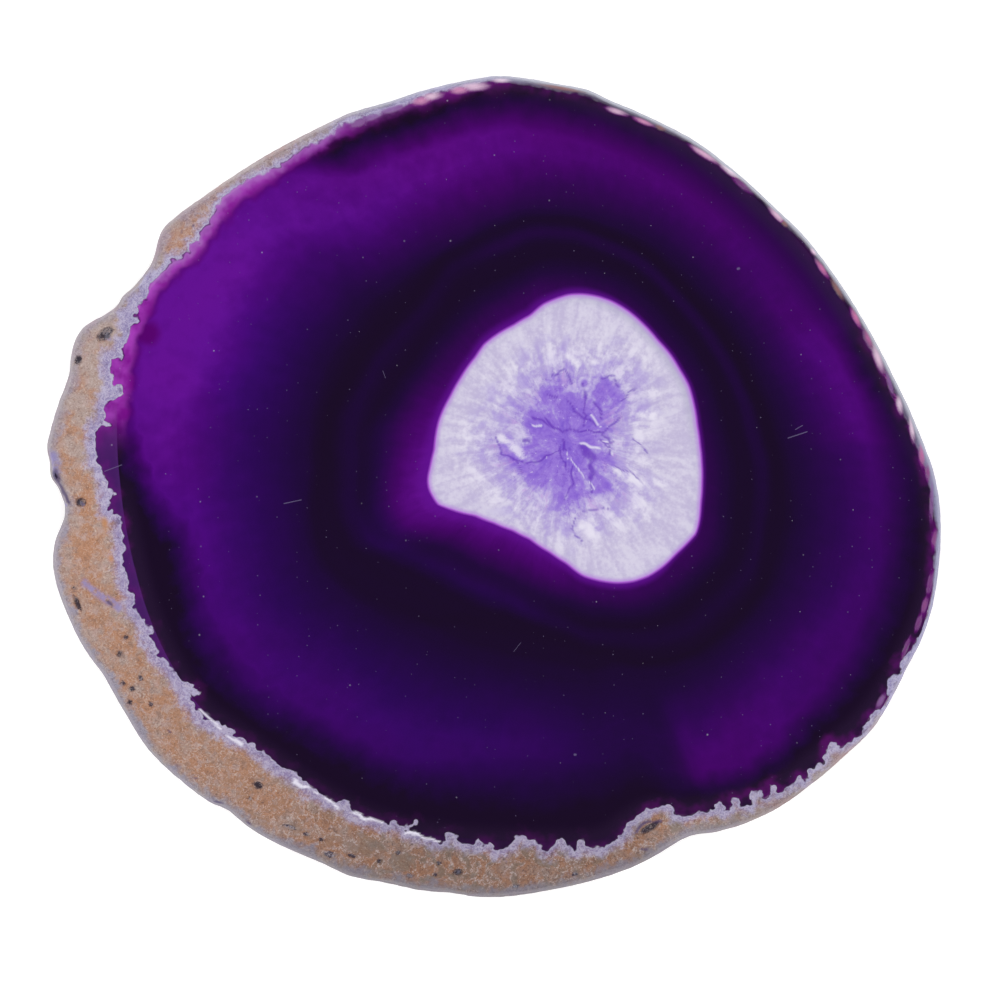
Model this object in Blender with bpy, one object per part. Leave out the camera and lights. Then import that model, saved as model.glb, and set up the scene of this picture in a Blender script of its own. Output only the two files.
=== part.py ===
"""A polished agate slice, cut across a nodule and lying flat on its back face."""

import bisect
import math

import bmesh
import bpy
from mathutils import Matrix, Vector, noise

MM = 0.001

# Driving dimensions. The slice is 100 mm across, 92 mm deep and 5 mm thick.
THICKNESS = 5.0 * MM
COLUMNS = 320

# The outer skin from above, in millimetres from the middle, anticlockwise from the right.
SKIN_OUTLINE = (
    (50.15, -4.4), (49.5, 1.0), (47.6, 6.3), (44.4, 13.2), (41.3, 18.95), (38.1, 23.85),
    (34.9, 28.0), (31.2, 31.6), (26.3, 36.0), (22.85, 38.6), (18.2, 41.1), (13.0, 43.35),
    (10.6, 44.5), (7.0, 45.2), (3.0, 45.9), (0.5, 46.1), (-2.5, 45.7), (-7.2, 44.65),
    (-12.0, 43.15), (-16.6, 41.75), (-20.0, 40.1), (-25.0, 37.5), (-30.0, 34.35), (-33.4, 32.0),
    (-36.2, 29.9), (-37.4, 28.6), (-37.85, 27.0), (-38.3, 25.3), (-39.2, 23.9), (-40.6, 22.25),
    (-41.7, 21.4), (-42.2, 20.4), (-43.9, 19.15), (-45.9, 18.1), (-46.8, 16.9), (-47.45, 14.8),
    (-47.7, 12.5), (-48.9, 9.25), (-49.85, 6.0), (-50.2, 4.3), (-49.8, 2.6), (-49.8, 1.1),
    (-48.9, -0.15), (-48.1, -2.4), (-48.4, -4.1), (-49.2, -5.8), (-49.5, -8.7), (-49.1, -11.0),
    (-47.8, -14.5), (-45.9, -18.3), (-43.8, -21.2), (-42.7, -23.2), (-41.1, -25.9), (-39.2, -29.0),
    (-37.2, -31.2), (-34.9, -33.2), (-31.7, -35.55), (-30.0, -36.2), (-27.8, -38.05),
    (-25.0, -39.75), (-21.6, -41.3), (-19.0, -42.4), (-16.3, -43.65), (-12.0, -44.5),
    (-8.0, -45.35), (-4.8, -45.6), (-2.4, -46.0), (1.0, -46.05), (6.0, -45.35), (11.5, -44.1),
    (15.8, -42.6), (18.5, -41.2), (21.0, -39.65), (22.6, -39.05), (24.6, -38.85), (28.2, -37.8),
    (32.0, -36.0), (35.5, -33.5), (39.5, -30.1), (42.6, -27.05), (44.6, -23.8), (46.3, -20.4),
    (47.9, -17.3), (49.1, -13.9), (49.8, -9.9),
)

# The edge of the flat polished face, in the same way. Outside it the rind is worn lower.
POLISH_OUTLINE = (
    (49.15, -4.4), (48.55, 1.0), (46.6, 6.1), (43.3, 13.0), (40.2, 18.4), (37.1, 23.2),
    (34.0, 27.3), (30.4, 30.9), (25.7, 35.1), (22.3, 37.7), (17.8, 40.1), (12.6, 42.4),
    (6.9, 44.2), (0.4, 45.1), (-7.2, 43.5), (-12.4, 41.7), (-17.5, 39.7), (-20.5, 38.0),
    (-25.2, 35.2), (-30.2, 32.0), (-32.2, 29.0), (-34.0, 26.2), (-37.4, 23.2), (-39.3, 20.4),
    (-40.3, 17.3), (-41.3, 14.0), (-41.9, 10.5), (-42.0, 6.0), (-41.6, 0.0), (-40.9, -5.0),
    (-39.9, -9.5), (-38.6, -14.0), (-36.4, -19.0), (-32.5, -25.0), (-28.2, -28.0),
    (-24.1, -30.9), (-19.5, -34.1), (-14.8, -36.6), (-10.0, -38.2), (-5.0, -39.0), (0.0, -39.4),
    (6.0, -39.6), (12.5, -39.3), (15.3, -36.9), (18.4, -35.5), (20.8, -36.5), (24.5, -35.7),
    (28.5, -34.8), (33.0, -32.8), (37.0, -29.6), (41.3, -26.1), (43.7, -22.9), (45.3, -20.0),
    (47.0, -16.6), (48.3, -13.2), (48.95, -9.5),
)

# The wall from the back face up to the rim: height, and how far in from the outline.
WALL_ROWS = (
    (0.0 * MM, 0.6 * MM),
    (0.35 * MM, 0.2 * MM),
    (1.7 * MM, 0.0 * MM),
    (3.0 * MM, 0.12 * MM),
    (4.1 * MM, 0.3 * MM),
    (4.6 * MM, 0.55 * MM),
)
WALL_WIDEST = 2
WALL_LUMP = 0.3 * MM
WALL_LUMP_SPAN = 3.5 * MM

# The worn rind shelf between the polished face and the rim.
SHELF_FRACTIONS = (0.12, 0.36, 0.62, 0.84)
SHELF_DROP = 0.4 * MM
SHELF_LUMP = 0.22 * MM
SHELF_LUMP_SPAN = 2.2 * MM
SHELF_FULL_WIDTH = 3.0 * MM
SHELF_LEAST_WIDTH = 0.1 * MM

# Pits in the rind: x, y, length, width and depth in millimetres, and the turn in degrees.
PITS = (
    (-43.4, 17.0, 2.2, 1.2, 0.9, 38.0),
    (-46.35, 14.15, 1.1, 0.8, 0.6, 60.0),
    (-49.3, 1.3, 1.5, 0.9, 0.8, -40.0),
    (-46.1, -1.75, 1.2, 1.1, 0.8, 0.0),
    (-46.5, -13.0, 2.2, 0.5, 0.6, -68.0),
    (-41.75, -18.65, 0.9, 0.7, 0.6, 20.0),
    (-40.5, -22.5, 1.3, 0.8, 0.6, -30.0),
    (-26.3, -33.3, 1.2, 0.8, 0.6, -25.0),
    (-4.05, -43.0, 1.1, 0.8, 0.7, 10.0),
    (17.4, -38.05, 3.0, 1.1, 1.0, 35.0),
)

SLICE_COLOUR = (0.045, 0.008, 0.11, 1.0)
SLICE_ROUGHNESS = 0.12
SHARP_ANGLE = math.radians(35.0)


def polar_points(outline):
    """Angle and radius of each point of an outline, in order of angle."""
    return sorted((math.atan2(y, x), math.hypot(x, y) * MM) for x, y in outline)


def radius_at(points, angle):
    """Radius at an angle, on a smooth closed curve through polar points."""
    def point(index):
        turns, place = divmod(index, len(points))
        return points[place][0] + turns * math.tau, points[place][1]

    start = bisect.bisect_right([a for a, _ in points], angle) - 1
    (a0, r0), (a1, r1), (a2, r2), (a3, r3) = (point(start + step) for step in (-1, 0, 1, 2))
    span = a2 - a1
    t = (angle - a1) / span
    leave = (r2 - r0) / (a2 - a0) * span
    arrive = (r3 - r1) / (a3 - a1) * span
    return (
        r1 * (2 * t**3 - 3 * t**2 + 1)
        + leave * (t**3 - 2 * t**2 + t)
        + r2 * (3 * t**2 - 2 * t**3)
        + arrive * (t**3 - t**2)
    )


def lump_noise(place, span):
    """Smooth lumps from 0 to 1 at a place, each about one span across."""
    return 0.5 + 0.5 * noise.noise(place / span)


def add_ring(bm, place_at):
    """A closed ring of edges whose points are placed from their angles."""
    ring = bmesh.ops.create_circle(bm, segments=COLUMNS, radius=1.0)["verts"]
    for vert in ring:
        vert.co = place_at(vert.co.copy(), math.atan2(vert.co.y, vert.co.x))
    return list({edge for vert in ring for edge in vert.link_edges})


def wall_place(skin, row):
    """Places one row of the bumpy wall. The widest row keeps to the outline."""
    height, inset = WALL_ROWS[row]

    def place_at(direction, angle):
        radius = radius_at(skin, angle) - inset
        place = direction * radius + Vector((0.0, 0.0, height))
        if row != WALL_WIDEST:
            place -= direction * WALL_LUMP * lump_noise(place, WALL_LUMP_SPAN)
        return place

    return place_at


def shelf_place(skin, polish, fraction):
    """Places one lumpy row of the rind shelf, from 0 at the polished face to 1 at the rim."""
    rim_inset = WALL_ROWS[-1][1] + WALL_LUMP

    def place_at(direction, angle):
        inner = radius_at(polish, angle)
        width = max(radius_at(skin, angle) - rim_inset - inner, SHELF_LEAST_WIDTH)
        place = direction * (inner + width * fraction)
        wide = min(width / SHELF_FULL_WIDTH, 1.0)
        fall = SHELF_DROP * math.sin(fraction * math.pi / 2)
        lump = SHELF_LUMP * wide * lump_noise(place, SHELF_LUMP_SPAN)
        place.z = THICKNESS - max(fall - lump, 0.0)
        return place

    return place_at


def polish_place(polish):
    """Places the edge of the flat polished face."""
    def place_at(direction, angle):
        return direction * radius_at(polish, angle) + Vector((0.0, 0.0, THICKNESS))

    return place_at


def build_slice():
    """Rings from the back face up the wall and over the shelf, bridged and capped."""
    skin = polar_points(SKIN_OUTLINE)
    polish = polar_points(POLISH_OUTLINE)
    bm = bmesh.new()
    rings = [add_ring(bm, wall_place(skin, row)) for row in range(len(WALL_ROWS))]
    for fraction in reversed(SHELF_FRACTIONS):
        rings.append(add_ring(bm, shelf_place(skin, polish, fraction)))
    rings.append(add_ring(bm, polish_place(polish)))
    for lower, upper in zip(rings, rings[1:]):
        bmesh.ops.bridge_loops(bm, edges=lower + upper)
    bmesh.ops.contextual_create(bm, geom=rings[0])
    bmesh.ops.contextual_create(bm, geom=rings[-1])
    bmesh.ops.recalc_face_normals(bm, faces=bm.faces)
    mesh = bpy.data.meshes.new("agate_slice")
    bm.to_mesh(mesh)
    bm.free()
    mesh.shade_smooth()
    mesh.set_sharp_from_angle(angle=SHARP_ANGLE)
    return bpy.data.objects.new("agate_slice", mesh)


def build_pit_cutter():
    """One mesh of flattened balls, sunk to their middles in the rind shelf."""
    bm = bmesh.new()
    surface = THICKNESS - 0.5 * SHELF_DROP
    for x, y, length, width, depth, turn in PITS:
        place = Matrix.Translation((x * MM, y * MM, surface))
        turned = Matrix.Rotation(math.radians(turn), 4, "Z")
        sized = Matrix.Diagonal((length * MM / 2, width * MM / 2, depth * MM, 1.0))
        bmesh.ops.create_icosphere(bm, subdivisions=2, radius=1.0, matrix=place @ turned @ sized)
    mesh = bpy.data.meshes.new("pit_cutter")
    bm.to_mesh(mesh)
    bm.free()
    cutter = bpy.data.objects.new("pit_cutter", mesh)
    cutter.hide_render = True
    cutter.display_type = "WIRE"
    return cutter


def slice_material():
    """Dyed purple agate with a polished face."""
    material = bpy.data.materials.new("dyed_agate")
    material.use_nodes = True
    shader = material.node_tree.nodes["Principled BSDF"]
    shader.inputs["Base Color"].default_value = SLICE_COLOUR
    shader.inputs["Roughness"].default_value = SLICE_ROUGHNESS
    shader.inputs["Metallic"].default_value = 0.0
    return material


def main():
    for item in list(bpy.data.objects):
        bpy.data.objects.remove(item)
    parts = bpy.data.collections.new("agate_slice")
    cutters = bpy.data.collections.new("cutters")
    for collection in (parts, cutters):
        bpy.context.scene.collection.children.link(collection)

    slab = build_slice()
    slab.data.materials.append(slice_material())
    parts.objects.link(slab)
    cutter = build_pit_cutter()
    cutters.objects.link(cutter)

    pits = slab.modifiers.new("pits", "BOOLEAN")
    pits.operation = "DIFFERENCE"
    pits.solver = "EXACT"
    pits.object = cutter


main()
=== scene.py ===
import math

import bmesh
import bpy
import numpy as np
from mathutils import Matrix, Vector, noise


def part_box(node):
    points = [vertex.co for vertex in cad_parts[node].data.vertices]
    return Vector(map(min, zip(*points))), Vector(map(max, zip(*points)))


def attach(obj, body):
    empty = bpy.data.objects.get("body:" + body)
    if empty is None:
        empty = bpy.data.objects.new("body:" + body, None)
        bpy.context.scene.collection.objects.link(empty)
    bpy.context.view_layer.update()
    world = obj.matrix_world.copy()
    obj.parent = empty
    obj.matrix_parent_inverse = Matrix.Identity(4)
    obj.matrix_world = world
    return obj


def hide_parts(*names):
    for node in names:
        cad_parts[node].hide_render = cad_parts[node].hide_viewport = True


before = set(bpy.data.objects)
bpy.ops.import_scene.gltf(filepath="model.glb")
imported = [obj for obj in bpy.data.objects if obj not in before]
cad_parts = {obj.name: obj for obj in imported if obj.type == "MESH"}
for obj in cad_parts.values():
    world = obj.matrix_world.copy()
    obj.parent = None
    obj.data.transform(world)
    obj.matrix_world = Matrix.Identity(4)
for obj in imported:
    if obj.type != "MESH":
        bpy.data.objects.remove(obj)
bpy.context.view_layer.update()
mm = 0.001
print("the packed slab is loaded")

# The slab's mesh: how many columns run round it, how many rows each zone has, how finely its
# lines are read, and how often each line is smoothed.
slabMesh = {
    "columns": 1152,
    "innerColumns": 320,
    "shelfRows": 34,
    "marginRows": 8,
    "marginWidth": 2.0 * mm,
    "stitchWidth": 0.6 * mm,  # a gap that triangles fill, where the columns change
    "agateRows": 8,
    "heartRows": 64,
    "backHeartRows": 10,
    "backRindRows": 9,
    "heartHole": 0.02,  # the share of the heart that a fan of triangles closes
    "heartZone": 5.0 * mm,  # open edges nearer the heart's middle belong to that hole
    "widestHeight": 1.7 * mm,
    "heightSlack": 0.005 * mm,
    "lineSteps": 1440,
    "skinPasses": 2,
    "polishPasses": 50,
    "heartPasses": 12,
    "edgeStep": 3,
    "heartStep": 6,
    "weld": 0.0005 * mm,
    "flatNormal": 0.99999,  # faces that point up or down this much get sharp edges
}

# The wall from the back up to the rim: height and how far in from the widest line.
wallProfile = (
    (0.0, 0.6), (0.1, 0.42), (0.35, 0.2), (0.7, 0.1), (1.15, 0.04), (1.7, 0.0), (2.2, 0.03),
    (2.6, 0.07), (3.0, 0.12), (3.4, 0.18), (3.8, 0.24), (4.1, 0.3), (4.3, 0.38), (4.45, 0.46),
    (4.6, 0.55),
)

# Relief of the rind and the wall.
rindRelief = {
    "shelfDrop": 0.4 * mm,
    "bareSlope": 0.2,  # the share of the drop where the worn shelf is bare agate
    "shelfLump": 0.22 * mm,
    "shelfLumpSpan": 2.2 * mm,
    "shelfFullWidth": 3.0 * mm,
    "wallLump": 0.3 * mm,
    "wallLumpSpan": 3.5 * mm,
    "wallKeep": 0.8 * mm,
    "grainDepth": 0.12 * mm,
    "grainSpan": 1.0 * mm,
    "hazeDepth": 0.02 * mm,
    "lumpPower": 4,  # how late the lumps rise from the rim
    "crestHeight": 0.07 * mm,
    "crestSpan": 0.7 * mm,
    "crestEdge": 0.1 * mm,
    "crestWidth": 0.9 * mm,
    "nubHeight": 0.12 * mm,
    "crustFade": 0.8 * mm,  # from bare agate to full rind on the shelf
    "crustStart": -0.1 * mm,
    "crustEnd": 0.25 * mm,
    "wornFade": 0.35 * mm,  # from the polished face to full relief
    "bareStart": 15 * mm,  # how far to the left the worn agate begins
    "bareEnd": 30 * mm,
    "steep": 0.3,  # the upward share of a normal, from wall to shelf
    "level": 0.8,
    "coarseShare": 0.6,
    "fineShare": 0.4,
}

# The heart's outline in millimetres, read from the photograph.
heartMiddle = (8.0, 5.2)
heartLine = (
    (9.9, 21.35), (8.4, 21.3), (6.85, 20.8), (5.5, 20.2), (4.15, 19.0), (2.25, 17.9), (0.3, 16.8),
    (-1.0, 15.8), (-2.0, 14.35), (-3.6, 12.1), (-4.75, 10.05), (-6.05, 7.3), (-6.55, 4.1),
    (-7.0, 2.2), (-7.3, 0.85), (-7.15, -0.3), (-6.2, -1.95), (-4.8, -2.45), (-2.0, -3.15),
    (0.1, -4.0), (2.15, -4.8), (4.05, -5.75), (6.3, -7.25), (8.2, -8.5), (9.9, -9.85),
    (11.8, -10.4), (13.7, -10.65), (15.45, -10.5), (17.2, -9.9), (18.85, -8.8), (20.25, -7.4),
    (21.65, -6.05), (22.5, -5.1), (22.8, -3.75), (22.95, -1.75), (23.1, 0.5), (23.05, 2.7),
    (22.85, 4.7), (22.55, 6.8), (22.15, 9.3), (21.6, 11.25), (20.6, 13.0), (19.65, 14.55),
    (18.2, 16.2), (16.6, 18.0), (14.8, 19.55), (13.1, 20.55), (11.5, 21.1),
)

# The ragged edge between agate and rind in millimetres, anticlockwise from the top.
rindLine = (
    (0, 45.4), (-2.4, 44.65), (-5, 44.2), (-7.2, 43.75), (-10, 42.6), (-12.4, 41.7),
    (-15, 40.95), (-17.3, 40.4), (-18, 39.25), (-20, 38.2), (-22.15, 37.2), (-23.65, 36.1),
    (-25, 35.3), (-27.4, 34.2), (-28.7, 33.3), (-29.95, 32.5), (-31, 31.25), (-31.3, 30.1),
    (-32.3, 29), (-32.9, 28), (-33, 27.3), (-33.9, 27), (-34.1, 26.1), (-34.8, 25.5),
    (-36, 25.4), (-36.35, 24.5), (-37.25, 23.6), (-38.35, 22.8), (-38.6, 21.8), (-38.8, 20.9),
    (-39.8, 20.35), (-39.5, 19.6), (-40.6, 18.9), (-39.5, 18.45), (-40.7, 17.9), (-40.4, 17.1),
    (-40.8, 16.2), (-41.4, 15.3), (-41.4, 14.3), (-42.7, 14.2), (-42.7, 13.1), (-42.4, 12.2),
    (-42.4, 11.2), (-41.3, 11.5), (-41.2, 10.15), (-43.1, 9.5), (-43.4, 8.6), (-43.4, 7.45),
    (-42.95, 6.9), (-44.3, 6.35), (-44.4, 5.2), (-44.3, 3.65), (-44.3, 2.75), (-43.65, 2.1),
    (-43.4, 0.95), (-42.95, -0.05), (-42.1, -0.95), (-42.95, -1.4), (-42.95, -2.5),
    (-42.05, -3.05), (-41.4, -3.85), (-41.5, -5.1), (-41.2, -6.45), (-41.3, -7.45),
    (-41.3, -8.7), (-40.85, -9.6), (-40.85, -11.15), (-39.95, -12.15), (-40.15, -13.4),
    (-39.5, -14.4), (-38.8, -15.4), (-37.95, -15.65), (-38.4, -16.75), (-37.9, -17.4),
    (-37.35, -18.75), (-36.1, -20), (-35.1, -21.35), (-34, -21.9), (-33.4, -22.15),
    (-34.3, -22.8), (-33.9, -23.7), (-33, -24.8), (-32.3, -25.9), (-30.3, -26.6),
    (-28.95, -27.05), (-28.95, -27.75), (-26.95, -28.5), (-26.05, -29.3), (-25.25, -29.85),
    (-24.1, -30.9), (-22.9, -31.75), (-21.8, -32.1), (-21.1, -32.9), (-20, -33.9),
    (-19, -34.25), (-18.4, -34.9), (-17.3, -35.15), (-16.7, -34.5), (-15.8, -35.35),
    (-15.8, -36.15), (-14.8, -36.6), (-13.5, -37.15), (-11.9, -37.6), (-11.2, -37.25),
    (-10.7, -37.8), (-8.65, -37.35), (-8.55, -37.9), (-9.9, -38.4), (-8.1, -38.85),
    (-6.1, -39.75), (-5.5, -39.4), (-5.05, -38.6), (-4.3, -38.85), (-3.95, -39.5),
    (-3.15, -39.85), (-1.95, -40), (-1.7, -39.3), (-1.3, -39.95), (-0.15, -39.9), (0.3, -40.7),
    (1.3, -40.4), (2, -39.85), (2.8, -38.95), (3.45, -39.5), (4.9, -39.6), (5.45, -40.4),
    (6, -40.65), (6.6, -39.85), (8.5, -39.95), (8.95, -40.65), (9.15, -39.6), (9.95, -39.4),
    (10.05, -40.05), (12.1, -40.3), (13.2, -39.6), (14.3, -38.95), (14.75, -37.85),
    (15.45, -36.95), (16.8, -36.15), (18.35, -35.5), (19.85, -35.7), (20.4, -36.6),
    (21.5, -36.6), (23.1, -36.2), (24.85, -36), (25.3, -35.15), (25.65, -36.25),
    (26.2, -36.05), (26.65, -34.8), (27.35, -35.05), (27.55, -35.7), (28.7, -35.6),
    (28.9, -34.45), (29.7, -33.9), (30.05, -34.8), (30.7, -34.35), (31.15, -33.35),
    (31.6, -34.25), (33.2, -33.35), (34.1, -32.45), (34.65, -33.1), (35.1, -31.75),
    (36.1, -31.1), (36.75, -30.75), (37, -29.3), (37.65, -28.95), (38.8, -28.95),
    (39.95, -28.3), (41.05, -27.5), (41.7, -25.95), (42.4, -24.95), (43.5, -24.7),
    (44.05, -23.9), (43.85, -22.15), (44.1, -21.3), (45.3, -20.9), (45.2, -19.7), (46.3, -18.5),
    (47.1, -17.1), (47.9, -15.9), (48.3, -14.5), (48.9, -12.3), (49, -10.5), (49.1, -8.7),
    (49.2, -7.3), (49.1, -5.9), (49.6, -4.9), (49.2, -3.3), (48.9, -1.3), (48.4, 0.7),
    (48.3, 1.55), (47.85, 2.75), (47.3, 4.1), (46.7, 6), (45.8, 7.9), (45.1, 9.1), (44.9, 10.3),
    (44.1, 11.7), (43.4, 13.4), (42.4, 14.9), (41.3, 16.5), (41.3, 17.5), (40, 19.1),
    (39.9, 19.9), (39.3, 20.8), (38.1, 22.3), (37.6, 23.5), (36.2, 24.7), (35.5, 26.1),
    (34.3, 27.6), (32.8, 28.9), (31.4, 30.3), (30.2, 31.7), (29, 32.8), (27.65, 33.2),
    (27, 34.4), (25.6, 35.7), (24.4, 36.6), (23.2, 37.2), (21.8, 38.4), (20.1, 39.2),
    (18.6, 39.9), (17.5, 40.3), (16.3, 41), (15.1, 41.5), (13.9, 41.8), (12.5, 42.7),
    (10.8, 43.4), (9.1, 43.9), (7.4, 44.1), (4, 44.8),
)

# The edge of the polished face, where the flat agate gives way to worn agate or rind.
polishLine = (
    (49.15, -4.4), (48.55, 1.0), (46.6, 6.1), (43.3, 13.0), (40.2, 18.4), (37.1, 23.2),
    (34.0, 27.3), (30.4, 30.9), (25.7, 35.1), (22.3, 37.7), (17.8, 40.1), (12.6, 42.4),
    (6.9, 44.2), (0.4, 45.1), (-7.2, 43.5), (-12.4, 41.7), (-17.5, 39.7), (-20.5, 38.0),
    (-25.2, 35.2), (-30.2, 32.0), (-32.2, 29.0), (-34.0, 26.2), (-37.4, 23.2), (-39.3, 20.4),
    (-40.3, 17.3), (-41.3, 14.0), (-41.9, 10.5), (-42.0, 6.0), (-41.6, 0.0), (-40.9, -5.0),
    (-39.9, -9.5), (-38.6, -14.0), (-36.4, -19.0), (-32.5, -25.0), (-28.2, -28.0),
    (-24.1, -30.9), (-19.5, -34.1), (-14.8, -36.6), (-10.0, -38.2), (-5.0, -39.0), (0.0, -39.4),
    (6.0, -39.6), (12.5, -39.3), (15.3, -36.9), (18.4, -35.5), (20.8, -36.5), (24.5, -35.7),
    (28.5, -34.8), (33.0, -32.8), (37.0, -29.6), (41.3, -26.1), (43.7, -22.9), (45.3, -20.0),
    (47.0, -16.6), (48.3, -13.2), (48.95, -9.5),
)

# The violet core of the heart, read in the same way.
coreLine = (
    (5.9, 12.3), (7.3, 12.8), (9.1, 12.1), (11.2, 11.9), (13.2, 12.2), (14.4, 10.3), (14.2, 8.3),
    (13.1, 6.9), (13.6, 4.2), (13.3, 1.4), (14.1, -0.6), (10.7, -2.0), (7.4, -3.0), (4.2, -0.6),
    (2.6, 1.0), (0.6, 3.2), (0.3, 4.9), (3.1, 5.1), (2.9, 7.1), (2.3, 8.3), (4.4, 10.3),
)

# Marks that the slab's own points carry: two places and a width each, in millimetres.
# Cracks in the heart and dark places in the rind.
darkMarks = (
    (6.3, 7.1, 7.7, 6.1, 0.35), (7.7, 6.1, 9.1, 6.3, 0.4), (9.1, 6.3, 12.1, 6.0, 0.35),
    (12.1, 6.0, 14.1, 7.6, 0.4), (4.7, 2.6, 6.3, 3.7, 0.3), (6.3, 3.7, 8.6, 4.2, 0.25),
    (3.3, 5.0, 4.0, 5.0, 0.3), (9.9, 4.4, 10.9, 3.2, 1.5), (10.9, 3.2, 10.8, 1.0, 0.9),
    (7.7, 5.1, 7.9, 4.2, 0.6), (12.3, 4.9, 13.4, 4.9, 0.35), (0.4, 5.5, 0.9, 3.7, 0.3),
    (0.9, 3.7, 2.5, 2.8, 0.3), (2.5, 2.8, 3.1, 1.6, 0.3), (5.6, 7.5, 6.8, 6.6, 0.4),
    (11.9, 5.3, 12.6, 4.4, 0.4), (10.0, 11.4, 9.9, 11.0, 0.45), (10.0, 10.9, 10.2, 9.2, 0.35),
    (10.2, 9.2, 10.0, 6.7, 0.3), (12.1, 6.0, 13.1, 4.7, 0.4),
    (13.1, 4.7, 12.9, 3.6, 0.35), (2.5, 2.8, 4.7, 2.6, 0.3), (4.4, 7.6, 6.2, 6.8, 0.35),
    (5.9, 10.3, 7.2, 9.9, 0.35), (6.6, 12.5, 7.9, 12.9, 0.35), (7.9, 12.9, 8.6, 11.6, 0.35),
    (11.7, 12.0, 13.4, 12.3, 0.35), (13.4, 12.3, 13.9, 11.2, 0.35), (14.4, 9.8, 15.6, 10.9, 0.35),
    (15.5, 5.4, 17.0, 3.9, 0.25), (13.4, 2.2, 15.2, 1.5, 0.28), (15.2, 1.5, 16.4, 0.6, 0.25),
    (9.9, -2.6, 12.8, -2.5, 0.3), (9.1, -3.4, 8.6, -4.8, 0.28), (8.6, -4.8, 9.7, -6.2, 0.28),
    (8.6, 2.3, 8.8, 0.1, 0.35), (8.8, 0.1, 7.9, -1.4, 0.3), (7.2, 4.4, 7.9, 2.2, 0.3),
    (10.9, 0.8, 10.7, -0.9, 0.3), (8.3, 9.6, 9.3, 8.0, 0.3), (9.3, 8.0, 11.4, 6.9, 0.3),
    (11.2, 9.4, 12.2, 7.4, 0.3),
    (-49.0, 1.6, -48.7, 0.6, 1.2), (-48.4, 0.2, -47.4, -2.0, 0.6),
    (-27.1, 30.5, -27.1, 29.0, 0.3), (-35.0, 28.3, -34.9, 28.3, 0.4),
    (-33.6, 28.9, -33.5, 28.9, 0.4), (-31.0, -35.3, -30.6, -35.4, 0.6),
    (-27.6, -37.3, -27.3, -37.5, 0.6), (15.9, -38.6, 16.4, -37.8, 0.6),
    (-33.4, -32.6, -33.3, -32.6, 0.4), (-35.3, -31.2, -35.2, -31.2, 0.4),
    (-36.3, -27.3, -36.2, -27.3, 0.35), (-38.2, -18.4, -38.1, -18.4, 0.35),
    (16.4, -37.8, 17.4, -37.3, 0.5), (17.4, -37.3, 18.7, -37.5, 0.45),
    (16.5, -40.5, 17.1, -40.4, 0.5), (-43.0, -12.9, -42.8, -13.1, 0.5),
)

# Painted highlights: glints of light in the heart, and white glints on slivers at the foot of the
# polished edge.
paintedGlintMarks = (
    (9.8, 4.9, 11.6, 4.2, 0.45), (4.3, 7.0, 5.2, 6.8, 0.28), (10.7, 8.0, 11.8, 6.7, 0.2),
    (8.6, 3.0, 9.2, 2.0, 0.2), (9.4, 1.9, 10.0, 1.0, 0.2), (8.1, 3.7, 8.2, 3.6, 0.3),
    (12.1, 5.1, 12.7, 5.0, 0.22), (13.0, 4.2, 13.3, 3.5, 0.22), (10.7, 0.5, 11.2, -0.2, 0.22),
    (-32.7, -24.8, -30.5, -27.0, 0.4), (-29.6, -27.9, -28.1, -28.8, 0.45),
    (-22.4, -32.8, -19.6, -34.1, 0.45), (-18.7, -34.6, -17.3, -35.9, 0.45),
    (-15.6, -36.5, -12.4, -37.6, 0.55), (-10.0, -38.6, -6.2, -39.5, 0.4),
)

# Whiter crystals in the heart, and lilac veins in the rind.
paleMarks = (
    (0.9, 5.5, 3.1, 3.5, 1.3), (13.4, 1.9, 15.7, 0.7, 1.1), (16.0, 0.7, 19.8, 0.3, 1.2),
    (10.3, -4.3, 11.3, -5.0, 2.4), (7.6, 15.2, 9.2, 13.6, 1.2), (11.2, 13.8, 12.0, 12.6, 1.4),
    (15.6, 8.2, 17.8, 8.0, 1.3),
    (-45.8, -10.7, -44.2, -11.9, 1.15), (-44.2, -11.9, -41.9, -13.5, 1.6),
    (-43.2, 16.7, -43.0, 16.6, 0.8), (-46.0, -1.9, -45.9, -2.0, 0.5),
    (-4.1, -43.0, -4.0, -43.0, 0.45), (-49.3, 3.4, -48.9, 1.9, 1.5),
    (-49.0, 0.0, -48.4, -1.2, 0.7), (-48.4, -1.2, -47.9, -2.2, 0.6),
)

# How noise bends the marks, how much of a mark is full strength, and where they end on the wall.
markShape = {
    "bend": 0.35,
    "bendSpan": 1.0 * mm,
    "bendOffset": 0.05,  # how far away the noise for the second direction is read
    "core": 0.12,
    "wallFrom": 1.7 * mm,
    "wallTo": 3.6 * mm,
}

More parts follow.
